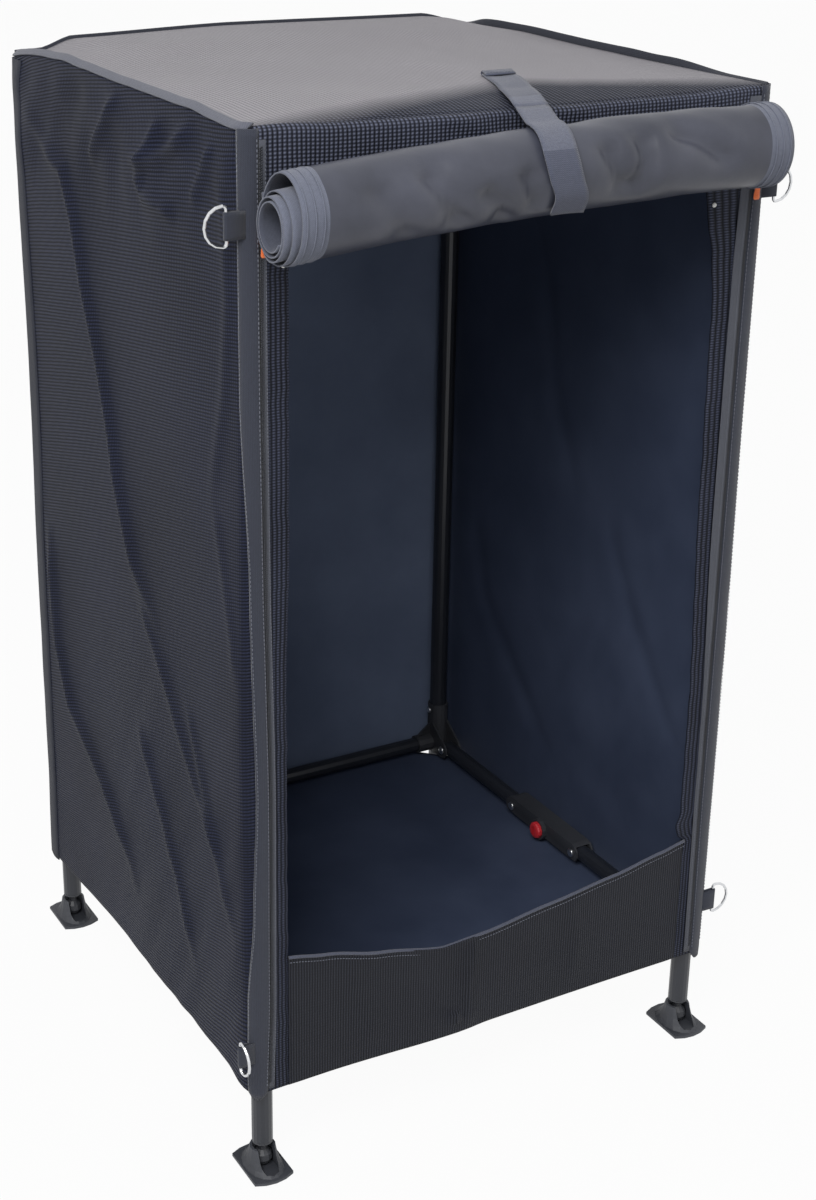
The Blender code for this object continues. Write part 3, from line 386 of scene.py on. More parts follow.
def grid_faces(rows, columns, first=0, closed=False, flip=False):
    """Quads over a grid of points. A closed grid joins its last column to its first."""
    faces = []
    for row in range(rows - 1):
        for column in range(columns if closed else columns - 1):
            after = (column + 1) % columns
            low, high = first + row * columns, first + (row + 1) * columns
            quad = (low + column, low + after, high + after, high + column)
            faces.append(quad[::-1] if flip else quad)
    return faces


def tube_faces(rows, columns, first=0):
    """A closed tube of quads with a cap on each end."""
    last = first + (rows - 1) * columns
    caps = [tuple(range(first, first + columns))[::-1], tuple(range(last, last + columns))]
    return grid_faces(rows, columns, first, closed=True) + caps


def new_piece(name, verts, faces, looks, uvs=None, marks=None, smooth=True):
    """An object from points and faces. marks gives each face's material, uvs each corner's place."""
    mesh = bpy.data.meshes.new(name)
    mesh.from_pydata([tuple(v) for v in verts], [], faces)
    for look in looks:
        mesh.materials.append(LOOK[look])
    if uvs is not None:
        layer = mesh.uv_layers.new(name="UVMap")
        for loop in mesh.loops:
            layer.data[loop.index].uv = uvs[loop.vertex_index]
    for index, polygon in enumerate(mesh.polygons):
        polygon.use_smooth = smooth
        if marks is not None:
            polygon.material_index = marks[index]
    mesh.validate()
    piece = bpy.data.objects.new(name, mesh)
    bpy.context.scene.collection.objects.link(piece)
    return piece


def bake(piece):
    """Applies the piece's modifiers to its mesh."""
    bpy.context.view_layer.update()
    graph = bpy.context.evaluated_depsgraph_get()
    baked = bpy.data.meshes.new_from_object(piece.evaluated_get(graph))
    piece.modifiers.clear()
    piece.data = baked
    return piece


def thicken(piece, thickness=CLOTH, looks=2, inward=True):
    solid = piece.modifiers.new("thickness", "SOLIDIFY")
    solid.thickness = thickness
    solid.offset = -1.0 if inward else 0.0
    solid.use_quality_normals = True
    if looks > 1:
        solid.material_offset = looks - 1
        solid.material_offset_rim = 0
    return bake(piece)


def cloth_sheet(name, us, vs, place, looks=("ribbed", "lining"), flip=False, thickness=CLOTH, mark=None,
                weave=None):
    """A sheet over a grid. place(u, v) gives a point, and u and v are metres on the flat cloth.

    weave(u, v) gives the place in the weave where the threads don't run square to the sheet.
    """
    verts = [place(u, v) for v in vs for u in us]
    uvs = [weave(u, v) if weave else (u, v) for v in vs for u in us]
    marks = [mark(u, v) if mark else 0 for v in vs[:-1] for u in us[:-1]]
    piece = new_piece(name, verts, grid_faces(len(vs), len(us), flip=flip), looks, uvs, marks)
    return thicken(piece, thickness, len(looks)) if thickness else piece


def sweep(name, stations, section, look):
    """A skin over copies of a closed section, in side and up. Each station is (centre, side, up)."""
    verts, uvs = [], []
    length = 0.0
    round_section = [0.0]
    for a, b in zip(section, section[1:] + section[:1]):
        round_section.append(round_section[-1] + math.dist(a, b))
    for index, (centre, side, up) in enumerate(stations):
        if index:
            length += (Vector(centre) - Vector(stations[index - 1][0])).length
        for corner, (a, b) in enumerate(section):
            verts.append(Vector(centre) + Vector(side) * a + Vector(up) * b)
            uvs.append((length, round_section[corner]))
    return new_piece(name, verts, tube_faces(len(stations), len(section)), [look], uvs)


def join_pieces(name, pieces):
    """Joins pieces into the first, under one name."""
    target = pieces[0]
    if len(pieces) > 1:
        with bpy.context.temp_override(active_object=target, selected_editable_objects=pieces):
            bpy.ops.object.join()
    target.name = name
    return target


def strip(name, stations, width, thick, look, steps=3):
    """A flat strip with rounded edges, swept through the stations."""
    half, radius = width / 2 - thick / 2, thick / 2
    section = []
    for side in (1, -1):
        for step in range(steps + 1):
            angle = math.radians(-90 * side + 180 * step / steps)
            section.append((side * half + radius * math.cos(angle), radius * math.sin(angle)))
    return sweep(name, stations, section, look)


def solid_box(low, high, verts, faces):
    """Adds a box to the points and faces."""
    base = len(verts)
    verts += [(x, y, z) for z in (low[2], high[2]) for y in (low[1], high[1]) for x in (low[0], high[0])]
    for quad in ((0, 2, 3, 1), (4, 5, 7, 6), (0, 1, 5, 4), (2, 6, 7, 3), (0, 4, 6, 2), (1, 3, 7, 5)):
        faces.append(tuple(base + corner for corner in quad))


def stitches(name, points, normal, pitch=0.0042, length=0.0028, radius=0.00035):
    """Small raised stitches along a line of points, proud of the cloth by their radius."""
    verts, faces = [], []
    walked, target = 0.0, pitch / 2
    up = Vector(normal).normalized()
    rings = ((-0.5, 0.35), (-0.3, 1.0), (0.3, 1.0), (0.5, 0.35))
    for start, end in zip(points, points[1:]):
        start, end = Vector(start), Vector(end)
        span = (end - start).length
        along = (end - start).normalized()
        side = along.cross(up).normalized()
        while target <= walked + span:
            middle = start + along * (target - walked) + up * radius
            faces += tube_faces(len(rings), RING_STEPS, len(verts))
            for share, size in rings:
                for turn in range(RING_STEPS):
                    angle = math.pi * turn / 3
                    offset = side * math.cos(angle) * 1.3 + up * math.sin(angle)
                    verts.append(middle + along * (share * length) + offset * (radius * size))
            target += pitch
        walked += span
    return new_piece(name, verts, faces, ["thread"])


def turned(name, profile, place, axis, look, steps=20):
    """A turned solid: profile is (radius, height) pairs along axis from place."""
    turn = Vector(axis).normalized().to_track_quat("Z", "Y").to_matrix()
    verts = []
    for radius, height in profile:
        for step in range(steps):
            angle = 2 * math.pi * step / steps
            spoke = Vector((radius * math.cos(angle), radius * math.sin(angle), height))
            verts.append(Vector(place) + turn @ spoke)
    return new_piece(name, verts, tube_faces(len(profile), steps), [look])


# Folds in a cloth, as raised lines on its flat plane
def fold_height(a, b, path, height, width):
    """How far a soft fold along a path lifts the cloth at (a, b). It fades towards both ends."""
    best = None
    walked = 0.0
    total = sum(math.dist(p, q) for p, q in zip(path, path[1:]))
    for (pa, pb), (qa, qb) in zip(path, path[1:]):
        da, db = qa - pa, qb - pb
        span = math.hypot(da, db)
        share = ((a - pa) * da + (b - pb) * db) / (span * span)
        share = min(1.0, max(0.0, share))
        near = math.hypot(a - pa - da * share, b - pb - db * share)
        if best is None or near < best[0]:
            best = (near, (walked + share * span) / total)
        walked += span
    near, share = best
    if near > 4 * width:
        return 0.0
    fade = ease(-0.02, 0.16, share) * ease(-0.02, 0.22, 1.0 - share)
    return height * fade * math.exp(-(near / width) ** 2)


def folds_lift(a, b, folds):
    return sum(fold_height(a, b, *fold) for fold in folds)


# Folds of the left side cloth as the photograph shows them: (y, z) points, height and width
LEFT_FOLDS = [
    ([(0.262, 1.012), (0.215, 0.985), (0.164, 0.966), (0.140, 0.920), (0.122, 0.853), (0.092, 0.784),
      (0.068, 0.716), (0.055, 0.665), (0.012, 0.586), (-0.027, 0.553), (-0.066, 0.510)], 0.0066, 0.0096),
    ([(0.262, 0.560), (0.255, 0.522), (0.245, 0.407), (0.212, 0.337), (0.117, 0.281), (0.041, 0.218),
      (0.025, 0.171)], 0.0060, 0.0095),
    ([(0.011, 0.567), (-0.049, 0.502), (-0.115, 0.419), (-0.203, 0.325)], 0.0042, 0.0085),
    ([(0.014, 0.410), (-0.047, 0.327), (-0.096, 0.249), (-0.127, 0.172)], 0.0040, 0.0080),
    ([(-0.110, 0.492), (-0.172, 0.366), (-0.226, 0.264)], 0.0030, 0.0080),
    ([(0.010, 1.066), (0.034, 1.040), (0.062, 1.014), (0.096, 0.985)], 0.0062, 0.0072),
    ([(-0.158, 1.060), (-0.125, 1.037), (-0.086, 1.019), (-0.040, 1.010), (-0.008, 1.003)], 0.0066, 0.0076),
    ([(-0.085, 1.050), (-0.060, 1.022), (-0.036, 0.990)], 0.0052, 0.0070),
    ([(-0.200, 1.046), (-0.170, 1.010), (-0.150, 0.985)], 0.0048, 0.0074),
    ([(-0.025, 1.000), (-0.050, 0.978), (-0.123, 0.972)], 0.0062, 0.0084),
    ([(-0.205, 1.030), (-0.220, 0.990), (-0.222, 0.916), (-0.211, 0.823), (-0.174, 0.697)], 0.0024, 0.0090),
    ([(-0.186, 0.720), (-0.224, 0.594), (-0.236, 0.539)], 0.0022, 0.0080),
]
# The right side cloth hangs the same way with its own, plainer folds
RIGHT_FOLDS = [
    ([(0.262, 1.000), (0.180, 0.930), (0.120, 0.820), (0.090, 0.660), (0.020, 0.520)], 0.0024, 0.0170),
    ([(0.255, 0.480), (0.230, 0.360), (0.140, 0.270), (0.060, 0.190)], 0.0022, 0.0170),
    ([(-0.020, 0.560), (-0.080, 0.450), (-0.190, 0.300)], 0.0018, 0.0150),
    ([(-0.110, 1.058), (-0.080, 1.020), (-0.030, 0.985), (0.020, 0.980)], 0.0040, 0.0080),
    ([(0.060, 1.060), (0.090, 1.020), (0.150, 0.990)], 0.0036, 0.0075),
]


# The cover's outline in plan: it runs straight between the posts and round each of them
POST_X = 0.267
POST_FRONT_Y = -0.2372
POST_REAR_Y = 0.3008
CORNER_DEEP = POST_FRONT_Y - FRONT_Y
LOW_SWELL = 0.0032
ARC = 0.0148
CORNER_RUN = ARC * math.pi / 2
SIDE_RUN = POST_REAR_Y - POST_FRONT_Y
SEAM_AT = 0.0040
REAR_SEAM_AT = CORNER_RUN + SIDE_RUN + 0.5 * CORNER_RUN
# Heights of the roof's edges: (y, z) along the sides, (x, z) along the rear and the front
ROOF_LEFT = [(-0.2526, 1.0678), (-0.2280, 1.0680), (-0.1500, 1.0728), (0.0080, 1.0748), (0.1600, 1.0786),
             (0.2400, 1.0750), (0.3162, 1.0656)]
ROOF_RIGHT = [(-0.2526, 1.0660), (-0.1660, 1.0664), (-0.0700, 1.0674), (0.0400, 1.0690), (0.1700, 1.0722),
              (0.2700, 1.0705), (0.3162, 1.0670)]
ROOF_REAR = [(-0.2824, 1.0656), (-0.2477, 1.0657), (-0.2116, 1.0770), (-0.0300, 1.0812), (0.2300, 1.0785),
             (0.2824, 1.0670)]
ROOF_FRONT = [(-0.2824, 1.0678), (-0.2450, 1.0668), (-0.2000, 1.0625), (0.1900, 1.0618), (0.2500, 1.0660),
              (0.2824, 1.0660)]


def corner_reach(z):
    """How far the cloth stands out from the post's axis. It hangs a little wider in the lower half."""
    return CORNER_DEEP + LOW_SWELL * ease(0.76, 0.46, z)


def round_corner(post_y, across, along, wide):
    """A point of the outline round a post and its normal, in the direction (across, along)."""
    nx, ny = CORNER_DEEP * across, wide * along
    size = math.hypot(nx, ny)
    return POST_X + wide * across, post_y + CORNER_DEEP * along, nx / size, ny / size


def outline(s, z):
    """The cover's outline at height z: x, y and the outward normal, for the right half.

    s runs along the cloth: below 0 across the front, then round the post to the side and the back.
    """
    wide = corner_reach(z)
    past_side = s - CORNER_RUN - SIDE_RUN
    if s <= 0.0:
        return POST_X + s, FRONT_Y, 0.0, -1.0
    if s < CORNER_RUN:
        return round_corner(POST_FRONT_Y, math.sin(s / ARC), -math.cos(s / ARC), wide)
    if past_side < 0.0:
        return POST_X + wide, POST_FRONT_Y + s - CORNER_RUN, 1.0, 0.0
    if past_side < CORNER_RUN:
        return round_corner(POST_REAR_Y, math.cos(past_side / ARC), math.sin(past_side / ARC), wide)
    return POST_X - (past_side - CORNER_RUN), REAR_Y, 0.0, 1.0


def look_up(table, at):
    """A smooth height between the pairs of a table."""
    if at <= table[0][0]:
        return table[0][1]
    for (a, low), (b, high) in zip(table, table[1:]):
        if at <= b:
            share = (at - a) / (b - a)
            return low + (high - low) * (0.5 * share + 0.5 * ease(0.0, 1.0, share))
    return table[-1][1]


def slope_start(x):
    """Where the roof starts to fall towards the front: further back in the middle."""
    return SLOPE_BACK_Y - SLOPE_LEAN * abs(x - SLOPE_MIDDLE_X)


def roof_height(x, y):
    """The top face of the roof cloth."""
    along = min(1.0, max(0.0, (y - FRONT_Y) / (REAR_Y - FRONT_Y)))
    across = min(1.0, max(0.0, (x + OUTER_X) / (2 * OUTER_X)))
    inner = 1 - (2 * across - 1) ** 2
    left, right = look_up(ROOF_LEFT, y), look_up(ROOF_RIGHT, y)
    level = left + (right - left) * across
    rear_level = ROOF_LEFT[-1][1] + (ROOF_RIGHT[-1][1] - ROOF_LEFT[-1][1]) * across
    level += (look_up(ROOF_REAR, x) - rear_level) * ease(0.62, 1.0, along)
    level += ROOF_PILLOW * inner * ease(1.0, 0.75, along)
    ripple = ROOF_RIPPLE * uneven(x * 9.0, y * 5.0, 3.1)
    ripple += ROOF_FINE_RIPPLE * uneven(x * 30.0, y * 14.0, 7.7)
    level += ripple * ease(0.0, 0.10, along) * ease(0.0, 0.3, inner) * ease(1.0, 0.9, along)
    start = slope_start(x)
    if y < start:
        share = max(0.0, (y - FRONT_Y) / (start - FRONT_Y))
        front = look_up(ROOF_FRONT, x)
        level = front + (level - front) * (1 - (1 - share) ** 2)
    return level


# How steeply the ribs of the side cloth rise towards the front, as (height, slope) pairs
RIB_RISE = [(0.100, 0.12), (0.200, 0.24), (0.310, 0.30), (0.400, 0.275), (0.480, 0.285), (0.560, 0.26),
            (0.645, 0.245), (0.720, 0.215), (0.800, 0.17), (0.950, 0.13), (1.050, 0.155)]
HEM_LIFT = {"left": 0.0075, "right": 0.0020}
SLOW_SWELL = 0.0040
SLANTED_RIPPLE = 0.0016
TOP_BUCKLE = 0.0060
EDGE_FADE = 0.03
REAR_FLARE = 0.002


def side_relief(side, y, z):
    """How far the side cloth stands proud of the flat panel."""
    seed = 11.0 if side == "left" else 23.0
    lift = folds_lift(y, z, LEFT_FOLDS if side == "left" else RIGHT_FOLDS)
    slow = SLOW_SWELL * uneven(y * 5.0, z * 2.4, seed)
    fan = ease(0.62, 0.30, z) * ease(0.26, -0.10, y)
    slanted = SLANTED_RIPPLE * fan * uneven((y + 0.55 * (z - 0.3)) * 34.0, z * 3.0, seed + 4)
    buckles = TOP_BUCKLE * ease(0.90, 1.03, z) * uneven(y * 21.0, z * 15.0, seed + 9)
    edge = ease(FRONT_Y, FRONT_Y + EDGE_FADE, y) * ease(REAR_Y, REAR_Y - EDGE_FADE, y)
    return lift * edge + (slow + slanted + buckles + CLOTH) * edge


def side_lift(side, x, y, z):
    """How far the side cloth stands off the outline. The relief fades at the top, the rear hem flares."""
    top = roof_height(SIDES[side] * x, y) - SHOULDER
    flare = REAR_FLARE * ease(0.22, HEM_Z, z) * ease(0.16, POST_REAR_Y, y)
    return side_relief(side, y, z) * ease(top + 0.004, top - 0.03, z) + flare


def side_cloth(side):
    """One side, from the hem up and round the top edge, and from the front binding to the rear one."""
    across = SIDES[side]
    span = REAR_SEAM_AT - SEAM_AT
    tall = COVER_TOP - SHOULDER - HEM_Z
    upright = cells(0.0, tall, SIDE_CELL)
    over = [tall + length for length in between(0.0, SHOULDER * math.pi / 2, 5)[1:]]

    def place(u, v):
        s = REAR_SEAM_AT - u if across < 0 else SEAM_AT + u
        z = min(v, tall) + HEM_Z
        x, y, nx, ny = outline(s, z)
        z += HEM_LIFT[side] * ease(0.30, 0.0, v) * ease(0.27, 0.0, y) * ease(-0.25, -0.19, y)
        top = roof_height(across * x, y) - SHOULDER
        z += (top - COVER_TOP + SHOULDER) * ease(0.80, COVER_TOP - SHOULDER, z)
        turn = max(0.0, v - tall) / SHOULDER
        out = side_lift(side, x, y, z) - SHOULDER * (1 - math.cos(turn))
        z = z + SHOULDER * math.sin(turn)
        return Vector((across * (x + out * nx), y + out * ny, z))

    def weave(u, v):
        forward = (u if across < 0 else span - u) - span / 2
        return u, v - look_up(RIB_RISE, v + HEM_Z) * forward

    piece = cloth_sheet(f"side_cloth_{side}", cells(0.0, span, SIDE_CELL), upright + over, place,
                        weave=weave)
    return piece, (span, over[-1])


def plan_half(y):
    """Half the roof's width at y, with its corners rounded round the posts."""
    beyond = max(0.0, POST_FRONT_Y - y, y - POST_REAR_Y) / CORNER_DEEP
    return POST_X + CORNER_DEEP * math.sqrt(max(0.0, 1 - beyond ** 2))


def roof_cloth():
    """The roof, from the left seam to the right one. It falls towards its rounded front edge."""
    front_y = FRONT_Y + SHOULDER
    deep = REAR_Y - CLOTH - front_y

    def place(u, v):
        y = front_y + v
        x = (u / OUTER_X - 1) * (plan_half(y) - SHOULDER + 0.0010)
        return Vector((x, y, roof_height(x, y)))

    piece = cloth_sheet("roof_cloth", cells(0.0, 2 * OUTER_X, ROOF_CELL), cells(0.0, deep, ROOF_CELL), place,
                        looks=("roof", "lining"))
    return piece, (2 * OUTER_X, deep)


def front_band():
    """The fixed cloth above the door: up the front and round the edge to the roof."""
    heights = [z - DOOR_TOP for z in cells(DOOR_TOP, COVER_TOP - SHOULDER)]
    around = [heights[-1] + length for length in between(0.0, SHOULDER * math.pi / 2, 6)[1:]]
    half = POST_X + SEAM_AT

    def place(u, v):
        across = -1.0 if u < half else 1.0
        s = abs(u - half) - POST_X
        x, y, nx, ny = outline(s, DOOR_TOP + v)
        top = roof_height(across * x, FRONT_Y + SHOULDER) - SHOULDER
        sag = BAND_SAG * uneven(across * x * 8.0, v * 20.0, 5.0)
        buckle = BAND_BUCKLE * max(0.0, uneven(across * x * 16.0 + v * 30.0, v * 10.0, 15.0))
        inner = ease(0.0, 0.04, -s) * ease(0.0, 0.02, v)
        turn = max(0.0, v - heights[-1]) / SHOULDER
        out = (0.001 + sag + buckle) * inner * math.cos(turn) - SHOULDER * (1 - math.cos(turn))
        z = DOOR_TOP + min(v, heights[-1]) * (top - DOOR_TOP) / heights[-1] + SHOULDER * math.sin(turn)
        return Vector((across * (x + out * nx), y + out * ny, z))

    piece = cloth_sheet("front_band_cloth", cells(0.0, 2 * half), heights + around, place,
                        looks=("grid", "lining"))
    return piece, (2 * half, around[-1])


# Inner edges of the front strips beside the zips: (z, x) pairs, with a corner at the top for the snap
JAMB_EDGE = {
    "left": [(0.102, 0.2437), (0.560, 0.2437), (0.680, 0.2400), (0.940, 0.2390), (0.975, 0.2330)],
    "right": [(0.102, 0.2440), (0.252, 0.2440), (0.262, 0.2345), (0.275, 0.2300), (0.292, 0.2370),
              (0.420, 0.2375), (0.650, 0.2298), (0.860, 0.2266), (0.910, 0.2215), (0.945, 0.2130),
              (0.975, 0.2090)],
}
JAMB_CURL = 0.0030
JAMB_WAVE = 0.0011
JAMB_FINE_WAVE = 0.0006


def jamb_cloth(side):
    """The narrow strip of front cloth beside the zip, with a slightly uneven free edge."""
    across = SIDES[side]
    wide = POST_X + SEAM_AT - JAMB_X
    tall = DOOR_TOP - HEM_Z
    free_end = SILL_HIGH.z + 0.010

    def place(u, v):
        z = HEM_Z + v
        share = u / wide if side == "left" else 1 - u / wide
        wobble = JAMB_WAVE * uneven(z * 42.0, 3.0, across)
        wobble += JAMB_FINE_WAVE * uneven(z * 160.0, 5.0, across)
        inner_edge = look_up(JAMB_EDGE[side], z) - POST_X + wobble
        s = SEAM_AT + (inner_edge - SEAM_AT) * share
        x, y, nx, ny = outline(s, z)
        curl = JAMB_CURL * math.exp(-((z - free_end - 0.010) / 0.022) ** 2) * ease(0.4, 1.0, share)
        curl *= ease(free_end - 0.008, free_end + 0.004, z)
        lift = curl if side == "right" else 0.0
        return Vector((across * (x + lift * nx), y + lift * ny + 0.0004 * share, z))

    piece = cloth_sheet(f"jamb_cloth_{side}", cells(0.0, wide, 0.0040), cells(0.0, tall, 0.0045), place,
                        looks=("jamb", "lining"))
    zs = between(HEM_Z, DOOR_TOP, 60)
    mean = sum(look_up(JAMB_EDGE[side], z) for z in zs) / len(zs)
    return piece, (POST_X + SEAM_AT - mean, tall)


SILL_SHAPE = [(-0.2437, 0.2553), (-0.201, 0.246), (-0.138, 0.229), (-0.065, 0.212), (-0.012, 0.215),
              (0.068, 0.226), (0.151, 0.237), (0.212, 0.248), (0.2437, 0.2545)]


def sill_top(x):
    """The sagging top edge of the sill, through the heights that the photograph shows."""
    for (x0, z0), (x1, z1) in zip(SILL_SHAPE, SILL_SHAPE[1:]):
        if x <= x1 or x1 == SILL_SHAPE[-1][0]:
            share = min(1.0, max(0.0, (x - x0) / (x1 - x0)))
            smooth = share * 0.6 + ease(0.0, 1.0, share) * 0.4
            return z0 + (z1 - z0) * smooth
    return SILL_SHAPE[-1][1]


SILL_CELL = 0.005
SILL_EDGE_OUT = 0.0016
SILL_SWELL = 0.0022
SILL_BELLY = 0.0030
SILL_FOLDS = [
    ([(-0.026, 0.214), (-0.030, 0.160), (-0.028, 0.100)], 0.0036, 0.0060),
    ([(-0.049, 0.130), (-0.047, 0.112)], 0.0040, 0.0055),
    ([(0.095, 0.226), (0.110, 0.170), (0.105, 0.110)], 0.0020, 0.0100),
    ([(-0.170, 0.236), (-0.150, 0.170), (-0.140, 0.110)], 0.0020, 0.0120),
]


def front_sill():
    """The low front cloth, with its sagging top, upright folds and hems."""
    half = JAMB_X
    tall = SILL_HIGH.z - HEM_Z

    def place(u, v):
        x = u - half
        z = HEM_Z + (sill_top(x) - HEM_Z) * (v / tall)
        lift = folds_lift(x, z, SILL_FOLDS)
        slow = SILL_SWELL * uneven(x * 7.0, z * 4.0, 31.0)
        left_belly = SILL_BELLY * ease(-0.20, -0.06, x) * ease(0.0, -0.05, x)
        inner = ease(0.0, 0.02, u) * ease(0.0, 0.02, 2 * half - u)
        return Vector((x, FRONT_Y - (lift + slow + left_belly + CLOTH) * inner, z))

    columns, rows = cells(0.0, 2 * half, SILL_CELL), cells(0.0, tall, SILL_CELL)
    return cloth_sheet("front_sill_cloth", columns, rows, place, looks=("sill", "lining"))


def sill_edge():
    """The folded top edge of the sill and the stitch line below it."""
    stations = []
    line = []
    for x in cells(-JAMB_X, JAMB_X, 0.006):
        z = sill_top(x)
        y = FRONT_Y - SILL_EDGE_OUT
        stations.append(((x, y, z - 0.0008), (0.0, 0.0, 1.0), FORWARD))
        line.append((x, y - 0.0008, z - 0.0062))
    edge = strip("sill_top_edge", stations, 0.0036, 0.0026, "strap")
    return [edge, stitches("sill_stitches", line, FORWARD, 0.0034, 0.0022)]


BACK_CELL = 0.008
BACK_OUT = 0.0026
BACK_SWELL = 0.0030
BACK_DRAPE = 0.0016


def back_cloth():
    """The back, from one rear binding to the other."""
    reach = 2 * CORNER_RUN + SIDE_RUN
    half = POST_X + reach - REAR_SEAM_AT
    tall = COVER_TOP - HEM_Z

    def place(u, v):
        across = 1.0 if u < half else -1.0
        s = reach + POST_X - abs(u - half)
        z = HEM_Z + v
        x, y, nx, ny = outline(s, z)
        z += (roof_height(across * x, REAR_Y) - COVER_TOP - CLOTH) * ease(0.8, COVER_TOP, z)
        inner = ease(0.0, 0.05, POST_X - x)
        slow = BACK_SWELL * uneven(across * x * 6.0, z * 1.6, 41.0)
        drape = BACK_DRAPE * uneven(across * x * 24.0, z * 2.2, 43.0)
        out = (BACK_OUT + slow + drape) * inner
        return Vector((across * (x + out * nx), y + out * ny, z))

    columns, rows = cells(0.0, 2 * half, BACK_CELL), cells(0.0, tall, BACK_CELL)
    piece = cloth_sheet("back_cloth", columns, rows, place, looks=("ribbed", "lit_back_lining"))
    return piece, (2 * half, tall)


# The floor's cut corners. The front ones are deeper, so the posts keep clear of the folding cloth
FLOOR_CUT = 0.046
FLOOR_FRONT_CUT = (0.060, 0.095)
FLOOR_FRONT_GAP = 0.0045
FLOOR_SAG = 0.0035
FLOOR_CRUMPLE = 0.0012


def floor_cloth():
    """The floor, with its four corners cut off beside the posts."""
    wide = FLOOR_HIGH.x - FLOOR_LOW.x
    deep = FLOOR_HIGH.y - FLOOR_LOW.y - FLOOR_FRONT_GAP
    cut_across, cut_back = FLOOR_FRONT_CUT

    def place(u, v):
        inset = max(0.0, cut_across * (1 - v / cut_back), FLOOR_CUT - (deep - v))
        x = FLOOR_LOW.x + inset + (wide - 2 * inset) * u / wide
        y = FLOOR_LOW.y + FLOOR_FRONT_GAP + v
        inner = min(u, wide - u, v, deep - v)
        sag = FLOOR_SAG * ease(0.0, 0.12, inner)
        crumple = FLOOR_CRUMPLE * uneven(x * 14.0, y * 14.0, 51.0) * ease(0.0, 0.04, inner)
        return Vector((x, y, FLOOR_HIGH.z - sag + min(0.0, crumple)))

    piece = cloth_sheet("floor_cloth", cells(0.0, wide, 0.009), cells(0.0, deep, 0.0092), place,
                        looks=("lining", "ribbed"))
    return piece, (wide, deep), wide * deep - FLOOR_CUT ** 2 - cut_across * cut_back


# Seams and bindings
FLAP_WIDE = 0.0070
FLAP_THICK = 0.0020
ROOF_TAPE_WIDE = 0.0092
ROOF_CORD_WIDE = 0.0080
SEAM_WAVE = 0.0007
TAPE_THICK = 0.0013
REAR_TAPE_LAP = 0.0240
REAR_TAPE_WIDE = 0.0420
STITCH_INSET = 0.0018


def roof_seams():
    """Bound seams round the roof: a flat tape on the left, a standing flap on the right, a rear cord."""
    left = []
    right = []
    rear = []
    for y in cells(FRONT_Y + 0.003, REAR_Y - 0.003, 0.008):
        half = plan_half(y)
        wave = SEAM_WAVE * uneven(y * 30.0, 1.0, 2.0)
        left.append(((-half + 0.0028, y, roof_height(-half, y) + 0.0004 + wave), (0.80, 0.0, 0.60),
                     (-0.60, 0.0, 0.80)))
        stand = ease(-0.19, -0.08, y) * ease(0.300, 0.240, y)
        tilt = math.radians(14.0 + 64.0 * stand)
        size = 1.0 + 0.25 * stand + 0.12 * uneven(y * 20.0, 4.0, 2.0)
        reach = size * FLAP_WIDE / 2
        foot_x, foot_z = half - 0.0062, roof_height(half - SHOULDER, y) - 0.0008
        right.append(((foot_x + reach * math.cos(tilt), y, foot_z + reach * math.sin(tilt)),
                      (size * math.cos(tilt), 0.0, size * math.sin(tilt)),
                      (-math.sin(tilt), 0.0, math.cos(tilt))))
    for x in cells(-POST_X - 0.010, POST_X + 0.010, 0.008):
        past_post = max(0.0, abs(x) - POST_X) / CORNER_DEEP
        y = POST_REAR_Y + CORNER_DEEP * math.sqrt(max(0.0, 1 - past_post ** 2))
        z = roof_height(x, REAR_Y) - 0.0004
        rear.append(((x, y - 0.0004, z), (0.0, 0.45, 0.89), (0.0, -0.89, 0.45)))
    return [
        strip("roof_seam_left", left, ROOF_TAPE_WIDE, SEAM_THICK, "tape"),
        strip("roof_seam_right", right, FLAP_WIDE, FLAP_THICK, "dark_tape"),
        strip("roof_seam_rear", rear, ROOF_CORD_WIDE, SEAM_THICK, "dark_tape"),
    ]


def wrapped_tape(name, side, rows, look, on_side=False):
    """A tape that lies on the cover's outline, or on the side cloth. Each row is (z, first s, last s)."""
    across = SIDES[side]
    shares = between(0.0, 1.0, 8)
    count = len(shares)
    verts, uvs = [], []
    for z, start, end in rows:
        for index, share in enumerate(shares):
            s = start + (end - start) * share
            x, y, nx, ny = outline(s, z)
            from_edge = min(index, count - 1 - index)
            out = 0.0004 + TAPE_THICK * ease(-0.6, 1.0, from_edge)
            out += side_lift(side, x, y, z) if on_side else 0.0
            out += 0.0003 * uneven(z * 22.0, s * 90.0, across)
            verts.append((across * (x + out * nx), y + out * ny, z))
            uvs.append((z, s))
    tape = new_piece(name, verts, grid_faces(len(rows), count, flip=across < 0), [look], uvs)
    return thicken(tape, TAPE_THICK, 1)


def rear_corner_binding(side):
    """Dark tape round a rear corner, from the hem to the roof."""
    rows = []
    for z in cells(HEM_Z - 0.003, COVER_TOP - 0.001, 0.010):
        start = CORNER_RUN + SIDE_RUN - REAR_TAPE_LAP + 0.0014 * uneven(z * 12.0, SIDES[side], 8.0)
        rows.append((z, start, start + REAR_TAPE_WIDE))
    return wrapped_tape(f"rear_binding_{side}", side, rows, "dark_tape", on_side=True)


# The front binding's inner and outer edges, as (z, s) pairs: it twists towards the front lower down
BINDING_INNER = {
    "left": [(0.102, 0.0000), (0.210, -0.0030), (0.440, -0.0042), (0.660, -0.0008), (0.830, 0.0002),
             (1.063, 0.0000)],
    "right": [(0.102, -0.0020), (0.300, -0.0040), (0.800, -0.0055), (0.900, -0.0055), (1.063, -0.0010)],
}
BINDING_OUTER = {
    "left": [(0.102, 0.0185), (0.210, 0.0170), (0.300, 0.0110), (0.440, 0.0075), (0.660, 0.0118),
             (0.830, 0.0195), (1.063, 0.0190)],
    "right": [(0.102, 0.0180), (0.500, 0.0150), (1.063, 0.0185)],
}


